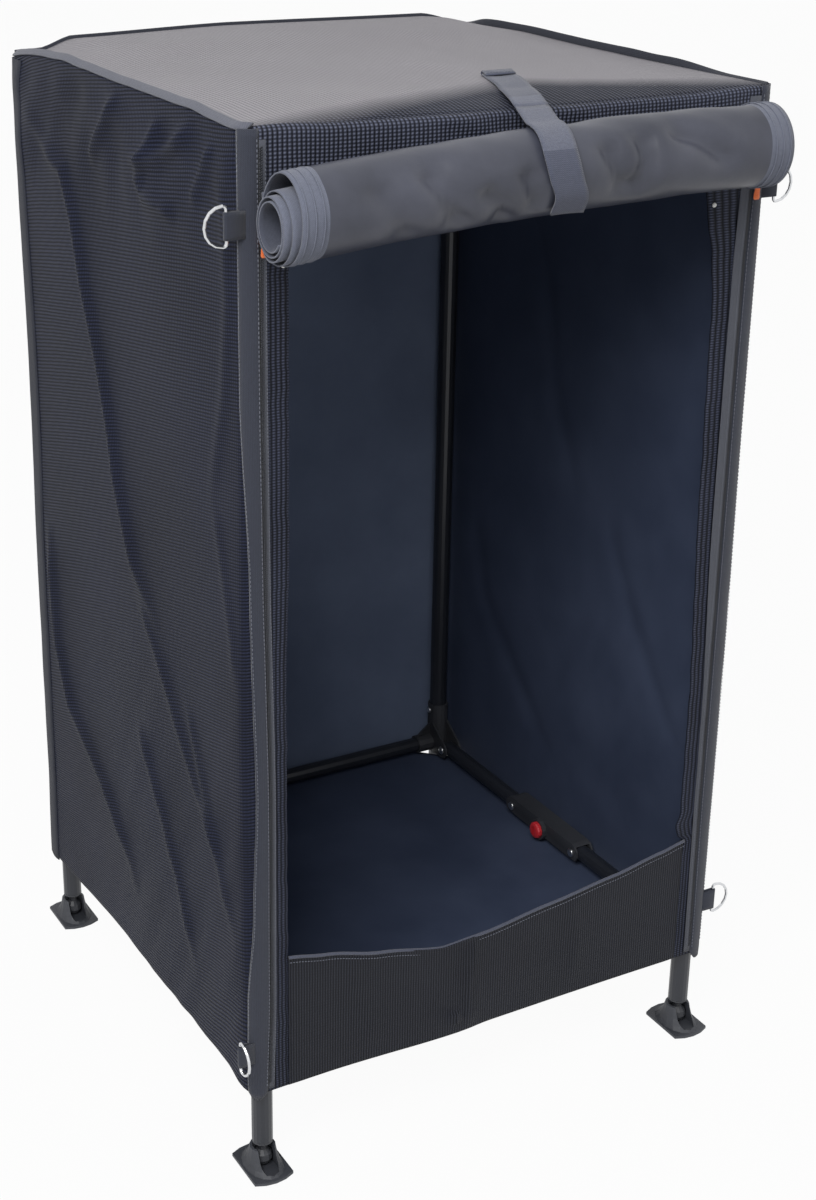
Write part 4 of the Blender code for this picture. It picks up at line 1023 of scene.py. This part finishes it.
def front_corner_binding(side):
    """Tape round the front corner, down to a rounded tongue below the hem, sewn along both edges."""
    across = SIDES[side]
    rows = []
    for index, z in enumerate(cells(HEM_Z - 0.008, COVER_TOP + 0.0035, 0.008)):
        tongue = 0.4 + 0.6 * math.sqrt(max(0.0, 1 - (1 - min(1.0, index / 2.0)) ** 2))
        start, end = look_up(BINDING_INNER[side], z), look_up(BINDING_OUTER[side], z)
        middle, half = (start + end) / 2, (end - start) / 2 * tongue
        rows.append((z, middle - half, middle + half))
    tape = wrapped_tape(f"corner_tape_{side}", side, rows, "corner")
    pieces = []
    for label, column, inset in (("front", 1, STITCH_INSET), ("side", 2, -STITCH_INSET)):
        line = []
        for row in rows[2:-1]:
            x, y, nx, ny = outline(row[column] + inset, row[0])
            line.append((across * (x + 0.0017 * nx), y + 0.0017 * ny, row[0]))
            facing = (across * nx, ny, 0.0)
        pieces.append(stitches(f"corner_stitches_{label}_{side}", line, facing))
    return tape, pieces


RING_HINGE_X = 0.2954
RING_HINGE_Y = -0.2481
RING_WIRE = 0.0015
TAB_HALF = 0.0120


def webbing_tab(side, level):
    """A folded webbing tab that holds a guy ring by its straight side."""
    across = SIDES[side]
    low, high = node_box(f"guy_ring_{level}_{side}")
    middle = (low.z + high.z) / 2
    loop = RING_WIRE + 0.0010
    foot_x = POST_X + 0.0095
    path = [(foot_x, RING_HINGE_Y - 0.0016)]
    for step in range(9):
        angle = math.radians(-80 + 160 * step / 8)
        path.append((RING_HINGE_X + loop * math.cos(angle), RING_HINGE_Y + loop * math.sin(angle)))
    path.append((foot_x + 0.003, RING_HINGE_Y + 0.0022))
    verts, uvs = [], []
    walked = 0.0
    rows = between(-TAB_HALF, TAB_HALF, 6)
    for index, (x, y) in enumerate(path):
        if index:
            walked += math.dist(path[index - 1], (x, y))
        for z in rows:
            verts.append((across * x, y, middle + z))
            uvs.append((z, walked))
    faces = grid_faces(len(path), len(rows), flip=across > 0)
    tab = new_piece(f"webbing_tab_{level}_{side}", verts, faces, ["corner"], uvs)
    return thicken(tab, 0.0008, 1, inward=False)


# The zips: the right one's tape narrows lower down
COIL_PITCH = 0.0021
ZIP_TAPE_WIDE = {"left": 0.0062, "right": 0.0135}
ZIP_TAPE_NARROWS = 0.0055
ZIP_END = 0.004
COIL_OUT = 0.0013
COIL_THICK = 0.00055
COIL_TALL = 0.00075
COIL_BEAD = ((0.0, 0.75), (0.0007, 1.0), (0.0015, 0.8))


def zip_line(side):
    """One zip: its woven tape, the coil in two staggered rows and the stitch line that holds it."""
    across = SIDES[side]
    low, high = node_box(f"zip_track_{side}")
    face = high.y
    tall = high.z - ZIP_END - low.z
    wide = ZIP_TAPE_WIDE[side]

    def coil_x(z):
        return POST_X + look_up(BINDING_INNER[side], z) - 0.0016

    zs = cells(low.z, low.z + tall, 0.010)
    stations = []
    for z in zs:
        wave = 0.0003 * uneven(z * 22.0, across, 71.0)
        narrow = wide - ZIP_TAPE_NARROWS * ease(0.62, 0.40, z) * (side == "right")
        stations.append(((across * (coil_x(z) - narrow / 2 + 0.0012), face - 0.0005 + wave, z),
                         (narrow / wide, 0.0, 0.0), FORWARD))
    tape = strip(f"zip_tape_{side}", stations, wide, 0.0009, "zip_tape")
    verts, faces = [], []
    for row in (-1, 1):
        for index in range(int((tall - 0.012) / COIL_PITCH)):
            z = low.z + 0.008 + (index + (0.5 if row > 0 else 0.0)) * COIL_PITCH
            middle = across * coil_x(z)
            faces += tube_faces(len(COIL_BEAD), RING_STEPS, len(verts))
            for reach, size in COIL_BEAD:
                for turn in range(RING_STEPS):
                    angle = math.pi * turn / 3
                    verts.append((middle + row * reach,
                                  face - COIL_OUT - COIL_THICK * size * math.sin(angle),
                                  z + COIL_TALL * size * math.cos(angle)))
    teeth = new_piece(f"zip_coil_{side}", verts, faces, ["teeth"])
    line = [(across * (coil_x(z) - 0.0040), face - 0.0010, z) for z in zs[1:-1]]
    return tape, [teeth, stitches(f"zip_stitches_{side}", line, FORWARD, 0.0036, 0.0024, 0.0003)]


# Half the width of a slider's body and of its pull, as (drop, half) pairs from the top
SLIDER_BODY = [(0.0, 0.0030), (0.0012, 0.0042), (0.0045, 0.0042), (0.0072, 0.0030), (0.0096, 0.0026),
               (0.0108, 0.0020)]
SLIDER_PULL = [(0.0055, 0.0022), (0.0068, 0.0030), (0.0110, 0.0029), (0.0160, 0.0034), (0.0205, 0.0037),
               (0.0222, 0.0028)]
PULL_RIBS = 4
PULL_RIB_PITCH = 0.0021
PULL_RIBS_DOWN = 0.0130


def slider(side):
    """A zip slider: a waisted body with a bridge, and a ribbed orange pull hanging from it."""
    low, high = node_box(f"zip_slider_{side}")
    x = (low.x + high.x) / 2
    top = high.z
    back = high.y

    def plate(label, shape, depth, step, thick):
        widest = max(half for z, half in shape)
        stations = []
        for z, half in shape:
            y = back - depth + step * (z > 0.012)
            stations.append(((x, y, top - z), (half / widest, 0.0, 0.0), FORWARD))
        return strip(f"zip_{label}_{side}", stations, 2 * widest, thick, "orange")

    bridge = []
    for step in range(7):
        angle = math.pi * step / 6
        drop = 0.0035 * (1 - math.cos(angle)) / 2 * 1.6
        bridge.append(((x, back - 0.0022 - 0.0022 * math.sin(angle), top - 0.0020 - drop),
                       (1.0, 0.0, 0.0), (0.0, -math.sin(angle), math.cos(angle))))
    shell = plate("slider_body", SLIDER_BODY, 0.0012, 0.0, 0.0024)
    hoop = strip(f"zip_bridge_{side}", bridge, 0.0022, 0.0009, "orange")
    pull = plate("pull", SLIDER_PULL, 0.0052, 0.0006, 0.0016)
    verts, faces = [], []
    for index in range(PULL_RIBS):
        z = top - PULL_RIBS_DOWN - PULL_RIB_PITCH * index
        solid_box((x - 0.0024, back - 0.0061, z), (x + 0.0024, back - 0.0054, z + 0.0008), verts, faces)
    grips = new_piece(f"zip_grips_{side}", verts, faces, ["orange"], smooth=False)
    return join_pieces(f"zip_slider_and_pull_{side}", [shell, hoop, pull, grips])


# The rolled door
ROLL_Y = -0.2945
ROLL_LEFT_Z = 0.9975
ROLL_RISE = 0.0220
ROLL_ARCH = 0.0075
ROLL_LEFT = -0.2780
ROLL_RIGHT = 0.2420
ROLL_STEP = 0.0115
ROLL_SAG = 0.0055
ROLL_OUT = 0.0372
ROLL_CORE = 0.0185
ROLL_TURNS = 4.4
ROLL_TAIL = 0.016
ROLL_CLOTH = 0.0013
ROLL_TUCK = 0.006
ROLL_WRINKLE = 0.0016
ROLL_BAND = 0.026
ROLL_STEPS = 230
BAND_RISE = 0.0005
BAND_RIB = 0.0006
BAND_RIB_OFFSETS = (0.0045, 0.0125, 0.0205)
ROLL_DENT_GAIN = 1.9
ROLL_DENTS = [
    ([(-0.150, 0.034), (-0.125, 0.000), (-0.105, -0.045)], -0.0062, 0.0110),
    ([(-0.200, 0.026), (-0.172, -0.010), (-0.155, -0.050)], -0.0040, 0.0120),
    ([(-0.095, 0.004), (-0.072, -0.018), (-0.058, -0.050)], -0.0056, 0.0090),
    ([(-0.050, 0.016), (-0.040, -0.010), (-0.034, -0.034)], -0.0044, 0.0080),
    ([(0.034, 0.030), (0.046, 0.004), (0.060, -0.030)], -0.0056, 0.0090),
    ([(0.074, 0.036), (0.080, 0.006), (0.066, -0.034)], -0.0060, 0.0090),
    ([(0.105, 0.034), (0.140, 0.020), (0.178, -0.010)], -0.0055, 0.0105),
]


def roll_z(x):
    """The height of the roll's axis: it rises a little to the right and arches in the middle."""
    share = (x - ROLL_LEFT) / (ROLL_RIGHT - ROLL_LEFT)
    return ROLL_LEFT_Z + ROLL_RISE * share + ROLL_ARCH * 4 * share * (1 - share)


def roll_point(share):
    """A point of the spiral, from the header (0) to the core (1), and its outward direction, in y and z.

    The outer turn is loose: the turns inside it lie at its bottom, with a gap above them.
    """
    turns = ROLL_TURNS * share
    inside = ease(0.72, 1.25, turns)
    inner_radius = ROLL_OUT - ROLL_SAG - 0.0010
    radius = ROLL_OUT + (inner_radius - ROLL_OUT) * inside
    radius -= (inner_radius - ROLL_CORE) * max(0.0, turns - 1.25) / (ROLL_TURNS - 1.25)
    angle = -2 * math.pi * turns
    radius *= 1.0 - 0.02 * math.cos(2 * angle)
    y, up = ROLL_Y + radius * math.cos(angle), radius * math.sin(angle) - ROLL_SAG * inside
    return y, up, math.cos(angle), math.sin(angle)


def walked_lengths(points, apart=math.dist):
    """The length walked to each point, and the index of each rounded length."""
    lengths = [0.0]
    for a, b in zip(points, points[1:]):
        lengths.append(lengths[-1] + apart(a, b))
    return lengths, {round(length, 9): index for index, length in enumerate(lengths)}


def door_roll():
    """The door cloth wound into a spiral, its inner turns sticking out on the left, with taped ends."""
    points = []
    tail_y = ROLL_Y + ROLL_OUT * 0.97
    for step in range(5):
        points.append((tail_y, ROLL_TAIL * (1 - step / 5), 1.0, 0.0, 0.0))
    for step in range(ROLL_STEPS + 1):
        points.append((*roll_point(step / ROLL_STEPS), step / ROLL_STEPS))
    lengths, index_of = walked_lengths([point[:2] for point in points])
    span = ROLL_RIGHT - ROLL_LEFT
    edge_rows = between(0.0, ROLL_BAND, 6)
    vs = edge_rows + cells(ROLL_BAND, span - ROLL_BAND, 0.010)[1:]
    vs += [span - row for row in edge_rows[::-1]][1:]

    def place(u, v):
        y, up, out_y, out_z, share = points[index_of[round(u, 9)]]
        turns = ROLL_TURNS * share
        tuck = (ROLL_STEP - ROLL_TUCK) * ease(1.15, 0.80, turns) + ROLL_TUCK * ease(2.3, 1.9, turns)
        left = ROLL_LEFT + tuck
        right = ROLL_RIGHT - 0.010 * ease(1.3, 2.4, turns)
        x = left + (right - left) * v / span
        lift = 0.0
        if share > 0 and turns < 3.0:
            arc = ROLL_OUT * math.atan2(out_z, -out_y)
            lift = ROLL_DENT_GAIN * folds_lift(x, arc, ROLL_DENTS)
            lift += ROLL_WRINKLE * uneven(x * 22.0 + arc * 30.0, arc * 22.0, 81.0)
            lift = min(CLOTH, lift) * ease(0.0, 0.03, v) * ease(0.0, 0.03, span - v)
            lift *= ease(3.0, 1.2, turns)
        banded = BAND_RISE if (v < ROLL_BAND or v > span - ROLL_BAND) else 0.0
        wave = 0.0006 * uneven(x * 8.0, turns * 3.0, 85.0)
        out = lift + banded + wave
        return Vector((x, y + out * out_y, roll_z(x) + up + out * out_z))

    def mark(_, v):
        return 1 if (v < ROLL_BAND - 0.001 or v >= span - ROLL_BAND - 0.0001) else 0

    piece = cloth_sheet("rolled_door", lengths, vs, place, looks=("door", "band", "door", "inner_band"),
                        flip=True, thickness=0.0, mark=mark)
    thicken(piece, ROLL_CLOTH, 3, inward=False)
    rings = []
    for end, direction in ((ROLL_LEFT + ROLL_STEP, 1.0), (ROLL_RIGHT, -1.0)):
        for offset in BAND_RIB_OFFSETS:
            line = []
            for step in range(70):
                y, up, out_y, out_z = roll_point((0.06 + 0.84 * step / 69) / ROLL_TURNS)
                x = end + direction * offset
                line.append((x, y + out_y * ROLL_CLOTH, roll_z(x) + up + out_z * ROLL_CLOTH))
            rings.append(ring_rib(f"band_rib_{len(rings)}", line))
    return piece, (lengths[-1], span - 0.010), join_pieces("door_band_ribs", rings)


def ring_rib(name, points):
    """A thin raised rib round the roll."""
    stations = []
    side = Vector((1.0, 0.0, 0.0))
    for index, point in enumerate(points):
        before = Vector(points[max(0, index - 1)])
        after = Vector(points[min(len(points) - 1, index + 1)])
        stations.append((point, side, (after - before).normalized().cross(side)))
    angles = [math.pi * turn / 3 for turn in range(RING_STEPS)]
    section = [(1.6 * BAND_RIB * math.cos(angle), BAND_RIB * math.sin(angle)) for angle in angles]
    return sweep(name, stations, section, "band")


# The strap: its sizes, and its top and its bend on the roof
STRAP_WIDTH = 0.0345
STRAP_THICK = 0.0018
STRAP_CLEAR = 0.0044
STRAP_LAP = 0.016
STRAP_LAP_LEAN = 0.006
STRAP_TOP_X = 0.0510
STRAP_TOP_Y = -0.1230
STRAP_BEND_X = 0.0240
STRAP_BEND_Y = -0.1950
# The strap's middle line past the roof: points (x, y, z) from above the front edge to its low end
STRAP_LINE = [(0.0155, -0.2150, 1.0728), (0.0035, -0.2450, 1.0706), (-0.0080, -0.2850, 1.0592),
              (-0.0135, -0.3105, 1.0482), (-0.0165, -0.3280, 1.0346), (-0.0130, -0.3355, 1.0170),
              (-0.0060, -0.3345, 1.0005), (-0.0015, -0.3215, 0.9835)]


def curve_point(a, b, c, d, t):
    """A point between b and c of a smooth curve through a, b, c and d."""
    square, cube = 2 * a - 5 * b + 4 * c - d, 3 * b - a - 3 * c + d
    return 0.5 * (2 * b + (c - a) * t + square * t ** 2 + cube * t ** 3)


def strap_path():
    """Points (x, y, z) along the strap's middle line and the outward direction there."""
    gap = 0.0004 + STRAP_THICK / 2
    line = []
    for share in between(0.0, 1.0, 8):
        y = STRAP_TOP_Y + (STRAP_BEND_Y - STRAP_TOP_Y) * share
        x = STRAP_TOP_X + (STRAP_BEND_X - STRAP_TOP_X) * share
        line.append(Vector((x, y, roof_height(x, y) + gap)))
    knots = [line[-2], line[-1]] + [Vector(point) for point in STRAP_LINE]
    knots.append(2 * knots[-1] - knots[-2])
    for four in zip(knots, knots[1:], knots[2:], knots[3:]):
        line += [curve_point(*four, step / 5) for step in range(1, 6)]
    for point in line:
        off_y, off_z = point.y - ROLL_Y, point.z - roll_z(point.x)
        push = max(1.0, (ROLL_OUT + STRAP_CLEAR) / math.hypot(off_y, off_z))
        point.y, point.z = ROLL_Y + off_y * push, roll_z(point.x) + off_z * push
    outward = []
    for before, after in zip([line[0]] + line[:-1], line[1:] + [line[-1]]):
        along = after - before
        outward.append(Vector((0.0, along.z, -along.y)).normalized())
    return line, outward


def roll_strap():
    """The strap in two parts, on the roof and over the roll, with a fuzzy stretch and a folded, sewn end."""
    line, outward = strap_path()
    lengths, index_of = walked_lengths(line, lambda a, b: (b - a).length)
    total = lengths[-1]

    def place(u, v):
        index = index_of[round(u, 9)]
        curl = 0.0007 * (2 * v / STRAP_WIDTH - 1) ** 2 + 0.0005 * uneven(u * 40.0, v * 30.0, 91.0)
        return line[index] + Vector((v - STRAP_WIDTH / 2, 0.0, 0.0)) + outward[index] * curl

    def mark(u, _):
        return 1 if 0.42 * total < u < 0.76 * total else 0

    split = next(index for index, point in enumerate(line) if point.y < FRONT_Y)
    parts = []
    for label, run in (("strap_on_roof", lengths[:split + 1]), ("door_strap", lengths[split:])):
        part = cloth_sheet(label, run, between(0.0, STRAP_WIDTH, 8), place, looks=("strap", "fuzz"),
                           thickness=0.0, mark=mark)
        parts.append((thicken(part, STRAP_THICK, 1, inward=False), (run[-1] - run[0], STRAP_WIDTH)))
    x0, y0, z0 = line[0]
    lap = []
    for share in between(0.0, 1.0, 4):
        y = y0 - STRAP_LAP * share
        x = x0 - STRAP_LAP_LEAN * share
        lap.append(((x, y, roof_height(x, y) + 0.0046 - 0.0008 * share), (1.0, 0.0, 0.0), (0.0, 0.0, 1.0)))
    loop = []
    for step in range(9):
        turn = math.pi * (step / 8 - 0.5)
        loop.append(((x0, y0 + 0.0026 * math.cos(turn), z0 + 0.0016 + 0.0020 * math.sin(turn)),
                     (1.0, 0.0, 0.0), (0.0, math.cos(turn), math.sin(turn))))
    pieces = [strip("strap_folded_end", lap, STRAP_WIDTH - 0.001, 0.0019, "strap"),
              strip("strap_end_loop", loop, STRAP_WIDTH - 0.001, 0.0015, "strap")]
    sewn_y = y0 - 0.0125
    sewn_z = roof_height(x0, sewn_y) + 0.0050
    across_line = [(x0 - 0.005 + x, sewn_y, sewn_z) for x in between(-0.015, 0.015, 8)]
    pieces.append(stitches("strap_stitches", across_line, (0.0, 0.0, 1.0), 0.0034, 0.0024, 0.0004))
    return *parts, pieces


# Small hardware
SNAPS = [(-0.2446, 0.9495), (0.2187, 0.9572)]
PIN_FACE_X = 0.2548
COLLAR_FACE_X = 0.2537
COLLAR_RIVET_RISE = 0.047
PIVOT_OFFSET = 0.032
KNUCKLE_HALF = 0.0655
KNUCKLE_Y = 0.0318
RAIL_LEVELS = {"lower": (0.1210, 1.0), "upper": (1.0490, -1.0)}
RIVET_PROFILE = [(0.0024, 0.0), (0.0024, 0.0004), (0.0021, 0.0010), (0.0013, 0.0013), (0.0005, 0.0014)]
PIN_PROFILE = [(0.0053, 0.0), (0.0053, 0.0013), (0.0045, 0.0021), (0.0026, 0.0026), (0.0007, 0.0027)]
COLLAR_RIVET_PROFILE = [(0.0040, -0.0006), (0.0040, 0.0010), (0.0033, 0.0017), (0.0018, 0.0022),
                        (0.0006, 0.0023)]


def rivets(name, places, look, profile):
    heads = [turned(f"{name}_{index}", profile, *spot, look) for index, spot in enumerate(places)]
    return join_pieces(name, heads)


def put_on(pieces, body):
    """Lets pieces ride on a body."""
    for piece in pieces:
        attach(piece, body)


def fold_with_frame(piece):
    """The piece rides the rear frame, with a mesh of its own."""
    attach(piece, "rear_frame")
    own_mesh(piece)
    return piece


def dress_sheet(made, node, body, area=None):
    """Puts a cloth in its node's place, on its body or else on the rear frame."""
    piece, flat = made
    if node:
        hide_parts(node)
    if body:
        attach(piece, body)
    else:
        fold_with_frame(piece)
    return piece


def dress_cloth():
    for side in SIDES:
        dress_sheet(side_cloth(side), f"side_panel_{side}", None)
        dress_sheet(jamb_cloth(side), None, "front_frame")
        put_on([rear_corner_binding(side)], "rear_frame")
    dress_sheet(roof_cloth(), "roof_panel", None)
    piece, flat, area = floor_cloth()
    dress_sheet((piece, flat), "floor_panel", None, area)
    dress_sheet(back_cloth(), "back_panel", "rear_frame")
    dress_sheet(front_band(), "front_surround", "front_frame")
    left_seam, right_seam, rear_seam = roof_seams()
    for seam in (left_seam, right_seam):
        fold_with_frame(seam)
    put_on([rear_seam], "rear_frame")

    sill = front_sill()
    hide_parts("front_sill")
    trims = sill_edge()
    put_on([sill], "front_frame")
    put_on(trims, "front_frame")
    xs = between(-JAMB_X, JAMB_X, 40)
    area = sum(sill_top(x) - HEM_Z for x in xs) / len(xs) * 2 * JAMB_X


def dress_trim():
    for side in SIDES:
        tape, rows = front_corner_binding(side)
        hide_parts(f"corner_binding_{side}")
        tabs = [webbing_tab(side, level) for level in ("lower", "upper")]
        for piece in (tape, *rows):
            fold_with_frame(piece)
        put_on(tabs, "front_frame")
        zip_tape, zip_parts = zip_line(side)
        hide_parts(f"zip_track_{side}")
        put_on([zip_tape, *zip_parts], "front_frame")
        pull = slider(side)
        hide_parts(f"zip_slider_{side}")
        put_on([pull], f"zip_slider_{side}")


def dress_door():
    roll, flat, ribs = door_roll()
    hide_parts("door_roll")
    put_on([roll], "front_frame")
    put_on([ribs], "front_frame")
    (tail, tail_flat), (strap, flat), trims = roll_strap()
    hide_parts("roll_strap")
    put_on([strap], "front_frame")
    for piece in (tail, *trims):
        fold_with_frame(piece)
    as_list(trims)


def dress_hardware():
    """The snap rivets of the opening, and bright heads on the pins and rivets of the frame's fittings."""
    snaps = [((x, FRONT_Y - 0.0004, z), FORWARD) for x, z in SNAPS]
    put_on([rivets("white_snap_rivets", snaps, "white", RIVET_PROFILE)], "front_frame")
    for end, post_y, inward in (("rear", POST_REAR_Y, -1.0), ("front", POST_FRONT_Y, 1.0)):
        pins, collars = [], []
        for across in SIDES.values():
            axis = (-across, 0.0, 0.0)
            for rail_z, rise in RAIL_LEVELS.values():
                pins.append(((across * PIN_FACE_X, post_y + inward * PIVOT_OFFSET, rail_z), axis))
                collars.append(((across * COLLAR_FACE_X, post_y, rail_z + rise * COLLAR_RIVET_RISE), axis))
        heads = [rivets(f"pin_heads_{end}", pins, "pin", PIN_PROFILE),
                 rivets(f"collar_rivets_{end}", collars, "pin", COLLAR_RIVET_PROFILE)]
        put_on(heads, f"{end}_frame")
    for level, (rail_z, _) in RAIL_LEVELS.items():
        pins = []
        for across in SIDES.values():
            for offset in (-KNUCKLE_HALF, KNUCKLE_HALF):
                pins.append(((across * PIN_FACE_X, KNUCKLE_Y + offset, rail_z), (-across, 0.0, 0.0)))
        heads = rivets(f"knuckle_pin_heads_{level}", pins, "pin", PIN_PROFILE)
        put_on([heads], f"{level}_knuckles")


SOLID_LOOKS = {"post": "tube", "cross_rail": "tube", "side_arm": "tube", "latch_button": "red",
               "guy_ring": "steel", "foot_pad": "pad", "corner_bracket": "plastic",
               "folding_knuckle": "plastic", "ball_plug": "plastic"}


def dress_solids():
    """Gives every CAD node its material. The cloth pieces replace the rest."""
    for name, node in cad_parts.items():
        look = next((look for start, look in SOLID_LOOKS.items() if name.startswith(start)), "ribbed")
        if not node.material_slots:
            node.data.materials.append(LOOK[look])
        for slot in node.material_slots:
            slot.material = LOOK[look]


def make_stage():
    """A pale floor that shows white to the camera and keeps the object's shadow."""
    reach = FLOOR_REACH
    corners = [(-reach, -reach, 0), (reach, -reach, 0), (reach, reach, 0), (-reach, reach, 0)]
    mesh = bpy.data.meshes.new("studio_floor")
    mesh.from_pydata(corners, [], [(0, 1, 2, 3)])
    floor = bpy.data.objects.new("studio_floor", mesh)
    bpy.context.scene.collection.objects.link(floor)
    s = Shader("pale_floor")
    mesh.materials.append(s.finish((FLOOR_TONE,) * 3, 0.9))
    white = s.node("ShaderNodeEmission")
    white.inputs["Strength"].default_value = 1.0
    white.inputs["Color"].default_value = (1.0, 1.0, 1.0, 1.0)
    mixer = s.node("ShaderNodeMixShader")
    s.put(mixer.inputs[0], s.times(s.seen_rays(), FLOOR_WHITE))
    s.put(mixer.inputs[1], s.bsdf.outputs[0])
    s.put(mixer.inputs[2], white.outputs[0])
    s.put(s.tree.nodes["Material Output"].inputs["Surface"], mixer.outputs[0])


def make_world():
    """Soft light all round, with plain white where the camera sees it."""
    world = bpy.data.worlds.new("studio_world")
    bpy.context.scene.world = world
    s = Shader("studio_world", world)
    background = s.tree.nodes["Background"]
    background.inputs["Color"].default_value = (1.0, 1.0, 1.0, 1.0)
    level = s.node("ShaderNodeMapRange")
    s.put(level.inputs["Value"], s.seen_rays())
    level.inputs["To Min"].default_value = WORLD_STRENGTH
    level.inputs["To Max"].default_value = 1.0
    s.put(background.inputs["Strength"], level.outputs[0])


def make_lamp(name, place, power, size):
    light = bpy.data.lights.new(name, "AREA")
    light.energy = power
    light.size = size
    lamp = bpy.data.objects.new(name, light)
    lamp.location = place
    lamp.rotation_euler = (Vector(AIM) - Vector(place)).to_track_quat("-Z", "Y").to_euler()
    bpy.context.scene.collection.objects.link(lamp)


def make_camera():
    lens = bpy.data.cameras.new("photo_camera")
    lens.sensor_fit = "VERTICAL"
    lens.sensor_height = CAMERA_SENSOR
    lens.sensor_width = CAMERA_SENSOR
    lens.lens = CAMERA_LENS
    lens.shift_x, lens.shift_y = CAMERA_SHIFT
    camera = bpy.data.objects.new("photo_camera", lens)
    camera.location = CAMERA_PLACE
    camera.rotation_euler = CAMERA_TURN
    bpy.context.scene.collection.objects.link(camera)
    bpy.context.scene.camera = camera


dress_cloth()
dress_trim()
dress_door()
dress_hardware()
dress_solids()
make_stage()
make_world()
make_lamp("key_light", KEY_PLACE, KEY_POWER, KEY_SIZE)
make_lamp("fill_light", FILL_PLACE, FILL_POWER, FILL_SIZE)
make_camera()
bpy.context.scene.view_settings.view_transform = "Standard"
